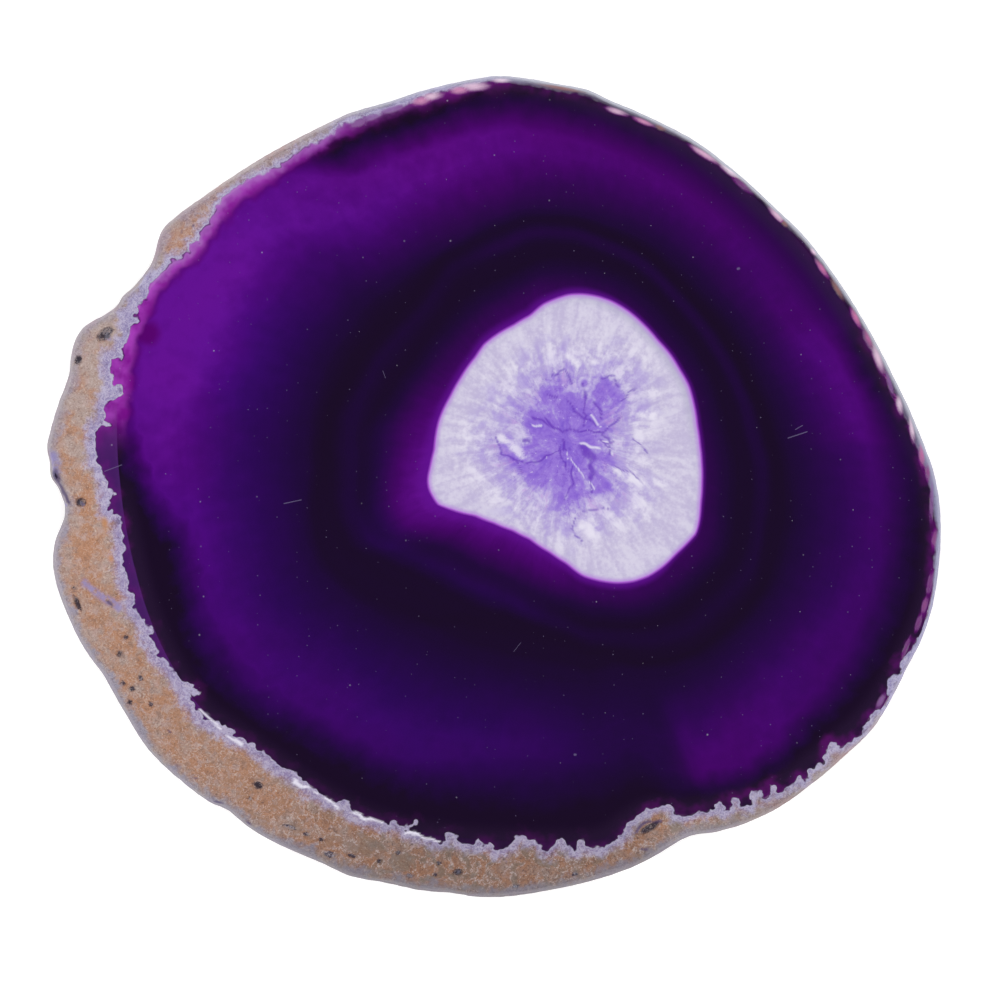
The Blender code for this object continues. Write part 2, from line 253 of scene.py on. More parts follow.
# Pits in the rind: x, y, length, width, depth in millimetres, and the turn in degrees.
pits = (
    (-43.4, 17.0, 2.2, 1.2, 0.9, 38), (-46.35, 14.15, 1.1, 0.8, 0.6, 60),
    (-49.3, 1.3, 1.5, 0.9, 0.8, -40), (-46.1, -1.75, 1.2, 1.1, 0.8, 0),
    (-46.5, -13.0, 2.2, 0.5, 0.6, -68), (-41.75, -18.65, 0.9, 0.7, 0.6, 20),
    (-40.4, -22.6, 0.7, 0.6, 0.4, 0), (-40.6, -24.05, 0.6, 0.6, 0.35, 0),
    (-26.3, -33.3, 1.2, 0.8, 0.6, -25),
    (-4.05, -43.0, 1.1, 0.8, 0.7, 10), (17.4, -38.05, 2.6, 0.8, 0.7, 30),
    (-46.85, -11.4, 0.7, 0.5, 0.3, -50), (-41.05, -16.8, 0.7, 0.6, 0.3, 40),
    (-39.4, -21.45, 0.6, 0.8, 0.3, 20), (-41.4, -21.95, 0.6, 0.8, 0.3, 30),
    (-38.25, -24.35, 0.7, 0.6, 0.3, 0), (-27.2, -34.8, 0.6, 0.5, 0.3, 0),
    (-10.7, -40.85, 0.6, 0.45, 0.3, 10), (-18.4, -41.0, 1.6, 0.8, 0.25, -20),
    (-22.8, -38.0, 1.7, 0.6, 0.3, -18), (-20.9, -38.8, 0.8, 0.6, 0.3, -18),
    (-19.3, -39.4, 0.7, 0.5, 0.3, -18), (-15.8, -41.2, 1.1, 0.5, 0.3, -10),
    (-12.8, -41.8, 0.7, 0.5, 0.3, 0), (-9.4, -43.4, 0.8, 0.6, 0.3, 0),
    (-6.2, -42.0, 0.6, 0.5, 0.25, 0), (-6.6, -43.3, 0.6, 0.5, 0.25, 0),
    (2.4, -44.6, 0.9, 0.5, 0.2, 0), (9.0, -43.2, 0.8, 0.5, 0.25, 0),
)

# How blunt the pits' bowls are, and how far past its rim a pit is still dark.
pitShape = {"roundness": 0.7, "reach": 1.6}

# Round nubs of rind at its inner edge: x, y and radius.
nubs = (
    (-4.8, -39.3, 0.75), (-1.6, -39.8, 0.4), (3.0, -39.7, 0.9), (4.4, -40.0, 0.45),
    (7.4, -40.3, 0.9), (9.6, -39.8, 0.5), (-24.4, 36.2, 0.6), (-34.7, 26.3, 0.5),
    (-33.25, -23.0, 0.5), (44.5, -21.8, 0.7), (37.6, -28.9, 0.5), (25.2, -35.9, 0.5),
    (26.7, -35.2, 0.4), (29.0, -34.4, 0.5), (31.2, -33.6, 0.45),
)

# Glints of dye and white on the thin rim: x, y, length along the rim, width, and tint: 0 is
# orange, 0.1 brown, 0.17 lilac, 0.25 magenta, 0.5 pink, 0.75 pale pink and 1 white. The pale pink
# and white ones are painted highlights, the others dye.
rimDyeAndHighlights = (
    (7.6, 44.75, 2.7, 0.4, 0.1), (13.8, 42.1, 1.2, 0.4, 0.8), (16.8, 40.95, 1.2, 0.35, 0.6),
    (18.7, 40.3, 0.7, 0.4, 0.1), (23.6, 37.3, 1.7, 0.45, 0.75), (26.5, 35.4, 1.4, 0.5, 0.95),
    (27.9, 33.9, 1.3, 0.5, 0.25), (31.8, 30.4, 1.2, 0.45, 0.8), (32.6, 29.6, 0.6, 0.4, 0.1),
    (35.9, 26.4, 0.5, 0.4, 0.85), (36.8, 24.5, 1.1, 0.4, 0.5), (38.5, 22.2, 1.3, 0.45, 0.1),
    (40.6, 19.0, 1.1, 0.45, 0.5), (42.0, 16.6, 1.1, 0.5, 0.4), (43.1, 14.4, 1.6, 0.6, 0.85),
    (44.4, 11.6, 1.6, 0.35, 0.2), (45.5, 9.2, 1.0, 0.5, 0.9), (46.9, 6.4, 1.4, 0.4, 0.9),
    (48.0, 3.5, 1.3, 0.45, 0.45), (48.7, 1.6, 1.0, 0.4, 0.3), (49.1, -1.6, 2.4, 0.3, 0.2),
    (49.4, -5.9, 1.0, 0.4, 0.3), (48.9, -10.8, 1.2, 0.35, 0.25), (48.3, -13.3, 0.9, 0.35, 0.3),
    (47.6, -15.3, 1.0, 0.35, 0.25), (46.2, -18.1, 1.2, 0.3, 0.25), (43.4, -24.0, 0.9, 0.4, 0.2),
    (-15.2, 40.8, 1.1, 0.5, 0.2), (-13.7, 41.45, 1.2, 0.45, 0.17), (-8.2, 43.3, 1.1, 0.65, 0.6),
    (-7.0, 43.8, 1.2, 0.6, 0.85), (-3.9, 44.5, 1.1, 0.6, 0.6), (-2.2, 44.9, 1.6, 0.65, 0.85),
    (0.8, 45.6, 1.0, 0.4, 0.95), (-11.5, 42.35, 1.6, 0.5, 0.17), (-43.7, -4.1, 0.7, 0.6, 0.0),
    (-43.0, -8.1, 0.6, 0.5, 0.0),
)

# How far inside its place a glint sits in millimetres, and how sharp it is each way.
bloomShape = {"inset": 0.3, "alongScale": 0.62, "acrossScale": 0.85}


def linePoints(points):
    return np.array(points, float) * mm


# Radius of a closed line round a middle, at evenly spaced turns.
def evenRadii(points, middle, count):
    offset = points - middle
    angles = np.arctan2(offset[:, 1], offset[:, 0])
    turns = np.arange(count) * math.tau / count
    return np.interp(turns, angles, np.hypot(offset[:, 0], offset[:, 1]), period=math.tau)


def softened(values, passes):
    for _ in range(passes):
        values = (np.roll(values, 1) + 2 * values + np.roll(values, -1)) / 4
    return values


# Rings of points at evenly spaced turns, from their radii and a middle.
def ringPoints(radii, middle, height):
    turns = np.arange(len(radii)) * math.tau / len(radii)
    x = middle[0] + radii * np.cos(turns)
    y = middle[1] + radii * np.sin(turns)
    return np.stack([x, y, np.full(len(radii), height)], axis=1)


# Distance of each point from a closed line, above zero inside it.
def gapInside(points, line):
    x, y = points[:, 0], points[:, 1]
    best = np.full(len(points), np.inf)
    inside = np.zeros(len(points), bool)
    for (ax, ay), (bx, by) in zip(line, np.roll(line, -1, axis=0)):
        dx, dy = bx - ax, by - ay
        share = np.clip(((x - ax) * dx + (y - ay) * dy) / (dx * dx + dy * dy), 0, 1)
        best = np.minimum(best, (x - ax - share * dx) ** 2 + (y - ay - share * dy) ** 2)
        if dy:
            inside ^= ((y < ay) != (y < by)) & (x < ax + (y - ay) * dx / dy)
    return np.where(inside, 1, -1) * np.sqrt(best)


def smoothStep(values, low, high):
    share = np.clip((values - low) / (high - low), 0, 1)
    return share * share * (3 - 2 * share)


# Smooth noise from 0 to 1 at every point of an array.
def noiseAt(points, span):
    flat = points.reshape(-1, 3) / span
    values = [0.5 + 0.5 * noise.noise(Vector(point)) for point in flat]
    return np.array(values).reshape(points.shape[:-1])


# The CAD solid gives the widest line and the height of the polished face.
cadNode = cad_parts["agate_slice"]
lowCorner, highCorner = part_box("agate_slice")
slabTop = highCorner.z
cadPoints = np.array([vert.co for vert in cadNode.data.vertices])
offWidest = np.abs(cadPoints[:, 2] - slabMesh["widestHeight"])
widest = cadPoints[offWidest < slabMesh["heightSlack"], :2]
middle = np.zeros(2)
heartCentre = linePoints(heartMiddle)
skinRadii = evenRadii(widest, middle, slabMesh["columns"])
skinRadii = softened(skinRadii, slabMesh["skinPasses"])
polishRadii = evenRadii(linePoints(polishLine), middle, slabMesh["columns"])
polishRadii = softened(polishRadii, slabMesh["polishPasses"])
heartRadii = evenRadii(linePoints(heartLine), heartCentre, slabMesh["lineSteps"])
heartRadii = softened(heartRadii, slabMesh["heartPasses"])
rindEdge = linePoints(rindLine)
skinEdge = ringPoints(skinRadii, middle, 0)[::slabMesh["edgeStep"], :2]
polishEdge = ringPoints(polishRadii, middle, 0)[::slabMesh["edgeStep"], :2]
heartEdge = ringPoints(heartRadii, heartCentre, 0)[::slabMesh["heartStep"], :2]


# Inward lumps of the wall, which leave the widest line alone.
def wallRows():
    rows = []
    for height, inset in wallProfile:
        row = ringPoints(skinRadii - inset * mm, middle, height * mm)
        share = min(abs(height * mm - slabMesh["widestHeight"]) / rindRelief["wallKeep"], 1.0)
        lump = rindRelief["wallLump"] * share * noiseAt(row, rindRelief["wallLumpSpan"])
        rows.append(ringPoints(skinRadii - inset * mm - lump, middle, height * mm))
    return rows


# Where the worn zone is bare agate, at the left, from 0 to 1.
def bareShare(places):
    return smoothStep(-places[:, :, 0], rindRelief["bareStart"], rindRelief["bareEnd"])


# The worn shelf from the rim in to the edge of the polished face. Only its rind is lumpy.
def shelfRows(rim, arc):
    steps = np.arange(1, slabMesh["shelfRows"] + 1)[:, None]
    out = 1 - steps / slabMesh["shelfRows"]
    rows = arc + (rim - arc) * out[:, :, None]
    rows[:, :, 2] = slabTop
    width = np.hypot(*(rim - arc)[:, :2].T)
    wide = np.minimum(width / rindRelief["shelfFullWidth"], 1.0)
    wide = wide * (1 - out ** rindRelief["lumpPower"])
    crust = smoothStep(crustGap(rows), 0.0, rindRelief["crustFade"])
    lump = rindRelief["shelfLump"] * wide * noiseAt(rows, rindRelief["shelfLumpSpan"])
    fall = rindRelief["shelfDrop"] * np.sin(out * math.pi / 2)
    bare = rindRelief["bareSlope"] * bareShare(rows)
    fall = fall * (bare + (1 - bare) * crust)
    rows[:, :, 2] -= np.maximum(fall - lump * crust, 0)
    return list(rows)


# How far each place is into the rind, with its nubs, below zero on the agate.
def crustGap(places):
    flat = places.reshape(-1, 3)
    gap = -gapInside(flat, rindEdge)
    for x, y, radius in nubs:
        gap = np.maximum(gap, radius * mm - np.hypot(flat[:, 0] - x * mm, flat[:, 1] - y * mm))
    return gap.reshape(places.shape[:-1])


def marginRows():
    rows = []
    for step in range(1, slabMesh["marginRows"] + 1):
        inset = slabMesh["marginWidth"] * step / slabMesh["marginRows"]
        rows.append(ringPoints(polishRadii - inset, middle, slabTop))
    return rows


# Rings over the flat agate, which turn from the slab's outline into the heart's.
def flatRows(height, heartRows):
    count = slabMesh["innerColumns"]
    inset = slabMesh["marginWidth"] + slabMesh["stitchWidth"]
    outer = ringPoints(thinned(polishRadii, count) - inset, middle, height)
    heart = ringPoints(thinned(heartRadii, count), heartCentre, height)
    centre = np.array([*heartCentre, height])
    rows = []
    for share in np.linspace(1, 0, slabMesh["agateRows"] + 1):
        rows.append(heart + (outer - heart) * share)
    for share in np.linspace(1, slabMesh["heartHole"], heartRows + 1)[1:]:
        rows.append(centre + (heart - centre) * share)
    return rows


def thinned(radii, count):
    turns = np.arange(count) / count * len(radii)
    return np.interp(turns, np.arange(len(radii) + 1), np.append(radii, radii[0]))


# Rings over the back, from just inside the wall's foot.
def backRows():
    count = slabMesh["innerColumns"]
    foot = (wallProfile[0][1] * mm) + rindRelief["wallLump"] + slabMesh["stitchWidth"]
    outer = ringPoints(thinned(skinRadii, count) - foot, middle, 0.0)
    flat = flatRows(0.0, slabMesh["backHeartRows"])
    rows = []
    for step in range(slabMesh["backRindRows"]):
        rows.append(outer + (flat[0] - outer) * step / slabMesh["backRindRows"])
    return rows + flat


# Grains, crests and pits, cut straight in from the smooth wall and shelf.
def carve(places):
    around = np.roll(places, -1, axis=1) - np.roll(places, 1, axis=1)
    along = np.gradient(places, axis=0)
    outward = np.cross(around, along)
    outward /= np.linalg.norm(outward, axis=2, keepdims=True)
    rindGap = crustGap(places)
    arcGap = -gapInside(places.reshape(-1, 3), polishEdge).reshape(places.shape[:2])
    worn = smoothStep(arcGap, 0.0, rindRelief["wornFade"])
    crust = smoothStep(rindGap, rindRelief["crustStart"], rindRelief["crustEnd"])
    upward = smoothStep(outward[:, :, 2], rindRelief["steep"], rindRelief["level"])
    grain = rindRelief["coarseShare"] * noiseAt(places, rindRelief["grainSpan"])
    grain += rindRelief["fineShare"] * noiseAt(places, rindRelief["grainSpan"] / 2)
    haze = rindRelief["hazeDepth"] * bareShare(places) * (1 - crust)
    depth = rindRelief["grainDepth"] * grain * crust + haze
    crest = smoothStep(rindGap, rindRelief["crestWidth"], rindRelief["crestEdge"])
    crest *= crust * upward
    depth -= crest * rindRelief["crestHeight"] * noiseAt(places, rindRelief["crestSpan"])
    places = places - outward * (depth * worn)[:, :, None]
    bowls, _ = pitBowls(places[:, :, 0], places[:, :, 1])
    places[:, :, 2] -= bowls * upward * worn
    places[:, :, 2] += nubDomes(places[:, :, 0], places[:, :, 1]) * worn * upward
    places[:, :, 2] = np.minimum(places[:, :, 2], slabTop)
    return places


def nubDomes(x, y):
    height = np.zeros_like(x)
    for nubX, nubY, radius in nubs:
        away = np.hypot(x - nubX * mm, y - nubY * mm) / (radius * mm)
        height = np.maximum(height, rindRelief["nubHeight"] * np.sqrt(np.clip(1 - away**2, 0, 1)))
    return height


# How deep the pits are at each place, and how far each place is into one, from 0 to 1.
def pitBowls(x, y):
    depth = np.zeros_like(x)
    inPit = np.zeros_like(x)
    for pitX, pitY, length, width, deep, turn in pits:
        angle = math.radians(turn)
        dx, dy = x - pitX * mm, y - pitY * mm
        along = (dx * math.cos(angle) + dy * math.sin(angle)) / (length * mm / 2)
        across = (dy * math.cos(angle) - dx * math.sin(angle)) / (width * mm / 2)
        away = along**2 + across**2
        bowl = np.clip(1 - away, 0, 1) ** pitShape["roundness"]
        depth = np.maximum(depth, deep * mm * bowl)
        inPit = np.maximum(inPit, np.clip(pitShape["reach"] - away, 0, 1))
    return depth, inPit


# A grid rolled into rings: its rows follow the first axis, its columns go round.
def rollUp(bm, places):
    rows, columns = places.shape[:2]
    grid = bmesh.ops.create_grid(bm, x_segments=columns, y_segments=rows - 1)["verts"]
    for index, vert in enumerate(grid):
        row, column = divmod(index, columns + 1)
        vert.co = places[row, column % columns]
    bmesh.ops.remove_doubles(bm, verts=grid, dist=slabMesh["weld"])


# Open edges of the top or the back: the seam round the agate, or the hole in the heart.
def openEdges(bm, top, nearHeart):
    found = []
    for edge in bm.edges:
        if edge.is_boundary:
            spot = (edge.verts[0].co + edge.verts[1].co) / 2
            close = math.dist(spot.xy, heartCentre) < slabMesh["heartZone"]
            if (spot.z > slabTop / 2) == top and close == nearHeart:
                found.append(edge)
    return found


def buildSlab():
    wall = wallRows()
    arc = ringPoints(polishRadii, middle, slabTop)
    crust = carve(np.array(wall + shelfRows(wall[-1], arc) + marginRows()))
    print("the wall and the rind are carved")
    bm = bmesh.new()
    rollUp(bm, crust)
    rollUp(bm, np.array(flatRows(slabTop, slabMesh["heartRows"])))
    rollUp(bm, np.array(backRows()))
    for top in (True, False):
        bmesh.ops.triangle_fill(bm, edges=openEdges(bm, top, False), use_beauty=True)
        cap = bmesh.ops.contextual_create(bm, geom=openEdges(bm, top, True))["faces"]
        bmesh.ops.poke(bm, faces=cap)
    bmesh.ops.recalc_face_normals(bm, faces=bm.faces)
    bm.normal_update()
    for edge in bm.edges:
        flat = [abs(face.normal.z) > slabMesh["flatNormal"] for face in edge.link_faces]
        edge.smooth = flat[0] == flat[-1]
    mesh = bpy.data.meshes.new("polishedAgate")
    bm.to_mesh(mesh)
    bm.free()
    return bpy.data.objects.new("polishedAgate", mesh)


def meshPoints(mesh):
    points = np.empty(len(mesh.vertices) * 3)
    mesh.vertices.foreach_get("co", points)
    return points.reshape(-1, 3)


# Values the material reads at each point. Gaps are in millimetres.
def markSurface(piece):
    mesh = piece.data
    points = meshPoints(mesh)
    offset = points[:, :2] - heartCentre
    turns = np.arctan2(offset[:, 1], offset[:, 0])
    reach = np.hypot(offset[:, 0], offset[:, 1])
    steps = np.linspace(0, math.tau, slabMesh["lineSteps"], endpoint=False)
    heartReach = np.interp(turns, steps, heartRadii, period=math.tau)
    outline = evenRadii(polishEdge, heartCentre, slabMesh["lineSteps"])
    outerReach = np.interp(turns, steps, outline, period=math.tau)
    band = np.where(
        reach > heartReach,
        (reach - heartReach) / (outerReach - heartReach),
        reach / heartReach - 1,
    )
    bloom, tint = bloomAt(points[:, 0] / mm, points[:, 1] / mm)
    upper = smoothStep(points[:, 2], markShape["wallFrom"], markShape["wallTo"])
    through = np.maximum(upper, band < 0)  # the heart's marks show on the back too
    values = {
        "band": band,
        "heartGap": gapInside(points, heartEdge) / mm,
        "coreGap": -gapInside(points, linePoints(coreLine)) / mm,
        "rindGap": crustGap(points) / mm,
        "arcGap": -gapInside(points, polishEdge) / mm,
        "skinGap": gapInside(points, skinEdge) / mm,
        "pit": pitBowls(points[:, 0], points[:, 1])[1] * upper,
        "bloom": bloom * upper,
        "tint": tint,
    }
    # The light marks are painted highlights: the glints in the heart and on the slivers.
    for name, marks in (("dark", darkMarks), ("light", paintedGlintMarks), ("pale", paleMarks)):
        values[name + "Mark"] = markAmount(points, marks) * through
    for name, amounts in values.items():
        layer = mesh.attributes.new(name, "FLOAT", "POINT")
        layer.data.foreach_set("value", amounts.astype(np.float32))


# How strongly a list of marks shows at each place. Noise bends the marks.
def markAmount(points, marks):
    flat = points * (1.0, 1.0, 0.0)
    shifted = flat + markShape["bendOffset"]
    bendX = markShape["bend"] * (noiseAt(flat, markShape["bendSpan"]) - 0.5) * 2
    bendY = markShape["bend"] * (noiseAt(shifted, markShape["bendSpan"]) - 0.5) * 2
    x, y = flat[:, 0] / mm + bendX, flat[:, 1] / mm + bendY
    total = np.zeros(len(points))
    for fromX, fromY, toX, toY, width in marks:
        dx, dy = toX - fromX, toY - fromY
        share = np.clip(((x - fromX) * dx + (y - fromY) * dy) / (dx * dx + dy * dy), 0, 1)
        gap = np.hypot(x - fromX - share * dx, y - fromY - share * dy)
        total = np.maximum(total, smoothStep(gap, width / 2, width * markShape["core"]))
    return total


# The glint that is strongest at each place, from 0 at its edge to 1 in its middle, and its tint.
def bloomAt(x, y):
    bloom = np.zeros_like(x)
    tint = np.zeros_like(x)
    for spotX, spotY, length, width, shade in rimDyeAndHighlights:
        turn = math.atan2(spotY, spotX) + math.pi / 2
        spotX -= bloomShape["inset"] * math.sin(turn)
        spotY += bloomShape["inset"] * math.cos(turn)
        along = (x - spotX) * math.cos(turn) + (y - spotY) * math.sin(turn)
        across = (y - spotY) * math.cos(turn) - (x - spotX) * math.sin(turn)
        along = along / length * bloomShape["alongScale"]
        across = across / width * bloomShape["acrossScale"]
        amount = np.clip(1 - np.hypot(along, across), 0, 1)
        tint = np.where(amount > bloom, shade, tint)
        bloom = np.maximum(bloom, amount)
    return bloom, tint


# The export's map: the top and the wall fill one disc, the back a smaller one.
bakeMap = {
    "topMiddle": (0.38, 0.62),
    "topScale": 0.37 / (55.2 * mm),
    "backMiddle": (0.79, 0.21),
    "backScale": 0.205 / (51.0 * mm),
    "leastReach": 0.001 * mm,
    "backHeight": 0.01 * mm,
}


def mapSurface(piece):
    mesh = piece.data
    points = meshPoints(mesh)
    reach = np.hypot(points[:, 0], points[:, 1])
    rim = wallProfile[-1][0] * mm
    unrolled = reach + np.clip(rim - points[:, 2], 0, None)
    topUv = points[:, :2] * (unrolled / np.maximum(reach, bakeMap["leastReach"]))[:, None]
    topUv = topUv * bakeMap["topScale"] + bakeMap["topMiddle"]
    backUv = points[:, :2] * bakeMap["backScale"] + bakeMap["backMiddle"]
    corners = np.empty(len(mesh.loops), int)
    mesh.loops.foreach_get("vertex_index", corners)
    onBack = np.zeros(len(mesh.loops), bool)
    for face in mesh.polygons:
        if face.center.z < bakeMap["backHeight"]:
            onBack[face.loop_start:face.loop_start + face.loop_total] = True
    uv = np.where(onBack[:, None], backUv[corners], topUv[corners])
    layer = mesh.uv_layers.new(name="OFBake")
    layer.data.foreach_set("uv", uv.astype(np.float32).ravel())


slab = buildSlab()
bpy.context.scene.collection.objects.link(slab)
markSurface(slab)
mapSurface(slab)
print("the slab has", sum(face.loop_total - 2 for face in slab.data.polygons), "triangles")

# Colours are written as the photograph shows them, and this light turns them into paint.
lightGain = 1.236


# Screen values from 0 to 255 as paint, by the usual screen curve.
def seen(red, green, blue):
    paint = []
    for value in (red, green, blue):
        value /= 255
        linear = value / 12.92 if value < 0.04045 else ((value + 0.055) / 1.055) ** 2.4
        paint.append(linear / lightGain)
    return (*paint, 1.0)


def plug(tree, socket, value):
    if isinstance(value, bpy.types.NodeSocket):
        tree.links.new(value, socket)
    else:
        socket.default_value = value


def addNode(tree, kind, inputs=None, **settings):
    node = tree.nodes.new("ShaderNode" + kind)
    for name, value in settings.items():
        setattr(node, name, value)
    for name, value in (inputs or {}).items():
        plug(tree, node.inputs[name], value)
    return node


def calc(tree, operation, *values, clamp=False):
    node = addNode(tree, "Math", operation=operation, use_clamp=clamp)
    for socket, value in zip(node.inputs, values):
        plug(tree, socket, value)
    return node.outputs[0]


def times(tree, *values):
    total = values[0]
    for value in values[1:]:
        total = calc(tree, "MULTIPLY", total, value)
    return total


# A sum of named values, each times its amount. The amount called base stands alone.
def summed(tree, values, amounts):
    total = amounts.get("base", 0.0)
    for name, amount in amounts.items():
        if name != "base":
            total = calc(tree, "MULTIPLY_ADD", values[name], amount, total)
    return total


# From low to high as a value goes from 0 to 1.
def between(tree, value, low, high):
    return calc(tree, "MULTIPLY_ADD", value, high - low, low)


# How far a value is from a place, either way.
def farFrom(tree, value, place):
    return calc(tree, "ABSOLUTE", calc(tree, "SUBTRACT", value, place))


def vectorCalc(tree, operation, first, second):
    node = addNode(tree, "VectorMath", operation=operation)
    plug(tree, node.inputs[0], first)
    plug(tree, node.inputs["Scale" if operation == "SCALE" else 1], second)
    return node.outputs["Value" if operation in ("DOT_PRODUCT", "DISTANCE") else "Vector"]


# From 0 at low to 1 at high. Low may be the larger of the two.
def ease(tree, value, low, high, kind="SMOOTHSTEP"):
    inputs = {"Value": value, "From Min": low, "From Max": high}
    return addNode(tree, "MapRange", inputs, interpolation_type=kind).outputs[0]


def mixed(tree, share, first, second, blend="MIX"):
    node = addNode(tree, "Mix", data_type="RGBA", blend_type=blend)
    for index, value in ((0, share), (6, first), (7, second)):
        plug(tree, node.inputs[index], value)
    return node.outputs[2]


# One colour laid over another where a mask says. A layer is a colour and its full strength.
def laid(tree, mask, under, layer):
    colour, strength = layer
    return mixed(tree, times(tree, mask, strength), under, colour)


# Noise from about 0.2 to 0.8, with lumps about one span across.
def speckle(tree, vector, span, detail=2.0, rough=0.5, bend=0.0):
    inputs = {"Vector": vector, "Scale": 1 / span, "Detail": detail, "Roughness": rough,
              "Distortion": bend}
    return addNode(tree, "TexNoise", inputs).outputs["Fac"]


# The same noise with its middle at 0.
def evenSpeckle(tree, vector, pattern):
    return calc(tree, "SUBTRACT", speckle(tree, vector, **pattern), 0.5)


def ramp(tree, value, stops):
    node = addNode(tree, "ValToRGB", {"Fac": value})
    marks = node.color_ramp.elements
    marks[0].position, marks[0].color = stops[0]
    marks[1].position, marks[1].color = stops[-1]
    for place, colour in stops[1:-1]:
        marks.new(place).color = colour
    return node.outputs["Color"]


# A value that changes with the direction from the heart's middle, in degrees.
def roundCurve(tree, turn, marks):
    top = max(1.0, max(value for _, value in marks))
    node = addNode(tree, "FloatCurve", {"Value": turn})
    points = node.mapping.curves[0].points
    points[0].location = (0.0, marks[0][1] / top)
    points[1].location = (1.0, marks[-1][1] / top)
    for degrees, value in marks[1:-1]:
        points.new(degrees / 360, value / top)
    node.mapping.update()
    return node.outputs[0] if top == 1.0 else times(tree, node.outputs[0], top)


def roundCurves(tree, turn, runs):
    return {name: roundCurve(tree, turn, marks) for name, marks in runs.items()}


def newGroup(name, inputs, outputs):
    group = bpy.data.node_groups.new(name, "ShaderNodeTree")
    for inOut, sockets in (("INPUT", inputs), ("OUTPUT", outputs)):
        for socketName, kind in sockets.items():
            socketType = "NodeSocket" + kind
            group.interface.new_socket(socketName, in_out=inOut, socket_type=socketType)
    entry = group.nodes.new("NodeGroupInput").outputs
    leave = group.nodes.new("NodeGroupOutput").inputs
    return group, entry, leave


def useGroup(tree, group, inputs):
    node = addNode(tree, "Group", node_tree=group)
    for name, value in inputs.items():
        plug(tree, node.inputs[name], value)
    return node.outputs


# How the purple bands run, by direction in degrees. A band of 0 is the heart's edge, 1 the rim.
# The violet rises from rise to full and fades from fade to dark. Strength is its brightness,
# and warmth its lean to magenta, inside and at the rim. The glow round the heart has its
# reach, and one lighter and one darker line follow the bands.
bandRuns = {
    "rise": ((0, 0.39), (60, 0.39), (90, 0.38), (112, 0.37), (130, 0.37), (150, 0.39), (180, 0.38),
             (200, 0.39), (215, 0.42), (260, 0.41), (280, 0.43), (296, 0.42), (315, 0.39),
             (360, 0.39)),
    "full": ((0, 0.76), (15, 0.73), (30, 0.67), (60, 0.72), (90, 0.70), (110, 0.70), (130, 0.66),
             (150, 0.83), (165, 0.77), (180, 0.84), (195, 0.76), (210, 0.76), (240, 0.70),
             (265, 0.64), (280, 0.60), (295, 0.74), (315, 0.66), (340, 0.72), (360, 0.76)),
    "fade": ((0, 0.77), (15, 0.81), (30, 0.78), (60, 0.77), (90, 0.78), (110, 0.79), (128, 0.80),
             (138, 0.94), (172, 0.94), (180, 0.92), (188, 0.86), (196, 0.79), (210, 0.81),
             (240, 0.78), (265, 0.70), (280, 0.72), (290, 0.84), (298, 0.84), (315, 0.78),
             (340, 0.77), (360, 0.77)),
    "dark": ((0, 1.02), (15, 0.97), (30, 1.10), (60, 1.05), (90, 0.99), (110, 0.95), (128, 0.95),
             (138, 1.15), (172, 1.15), (180, 1.02), (188, 0.96), (196, 0.90), (210, 0.935),
             (240, 0.905), (265, 0.90), (280, 0.88), (290, 0.96), (315, 0.93), (340, 0.94),
             (360, 1.02)),
    "strength": ((0, 0.71), (15, 0.73), (22, 0.70), (30, 0.58), (60, 0.61), (90, 0.70),
                 (108, 0.82), (130, 0.85), (150, 0.97), (165, 1.0), (180, 0.88), (195, 0.76),
                 (210, 0.67), (240, 0.56), (265, 0.44), (278, 0.26), (287, 0.23), (292, 0.58),
                 (303, 0.62), (315, 0.59), (340, 0.54), (360, 0.72)),
    "warmth": ((0, 0.50), (15, 0.50), (30, 0.70), (60, 0.70), (90, 0.80), (110, 0.80), (130, 0.50),
               (150, 0.32), (165, 0.08), (195, 0.10), (240, 0.04), (265, 0.18), (287, 0.25),
               (292, 0.40), (315, 0.45), (340, 0.36), (360, 0.50)),
    "rimWarmth": ((0, 0.75), (30, 0.75), (60, 0.90), (110, 1.0), (130, 0.85), (150, 0.60),
                  (165, 0.68), (180, 0.65), (195, 0.40), (240, 0.35), (265, 0.25), (286, 0.30),
                  (292, 0.85), (305, 0.75), (315, 0.65), (340, 0.60), (360, 0.75)),
    "glow": ((0, 0.32), (30, 0.28), (60, 0.30), (90, 0.38), (110, 0.52), (130, 0.46), (150, 0.52),
             (165, 0.64), (180, 0.80), (195, 0.92), (207, 0.90), (215, 0.84), (240, 0.82),
             (265, 0.72), (280, 0.50), (295, 0.48), (315, 0.42), (340, 0.36), (360, 0.32)),
    "reach": ((0, 0.19), (60, 0.21), (110, 0.24), (130, 0.22), (165, 0.21), (180, 0.27),
              (195, 0.27), (207, 0.31), (213, 0.27), (220, 0.22), (265, 0.22), (295, 0.22),
              (325, 0.20), (360, 0.19)),
    "lightLine": ((0, 0.26), (60, 0.26), (75, 0.28), (90, 0.31), (105, 0.325), (120, 0.32),
                  (135, 0.26), (205, 0.26), (216, 0.215), (262, 0.215), (280, 0.25), (360, 0.26)),
    "lightness": ((0, 0.13), (60, 0.15), (90, 0.16), (108, 0.17), (122, 0.08), (150, 0.09),
                  (200, 0.14), (215, 0.20), (240, 0.26), (256, 0.22), (270, 0.10), (330, 0.09),
                  (360, 0.13)),
    "darkLine": ((0, 0.33), (60, 0.33), (75, 0.35), (95, 0.385), (120, 0.37), (138, 0.30),
                 (150, 0.30), (180, 0.34), (200, 0.39), (230, 0.38), (242, 0.30), (270, 0.28),
                 (290, 0.35), (320, 0.35), (332, 0.31), (360, 0.33)),
}

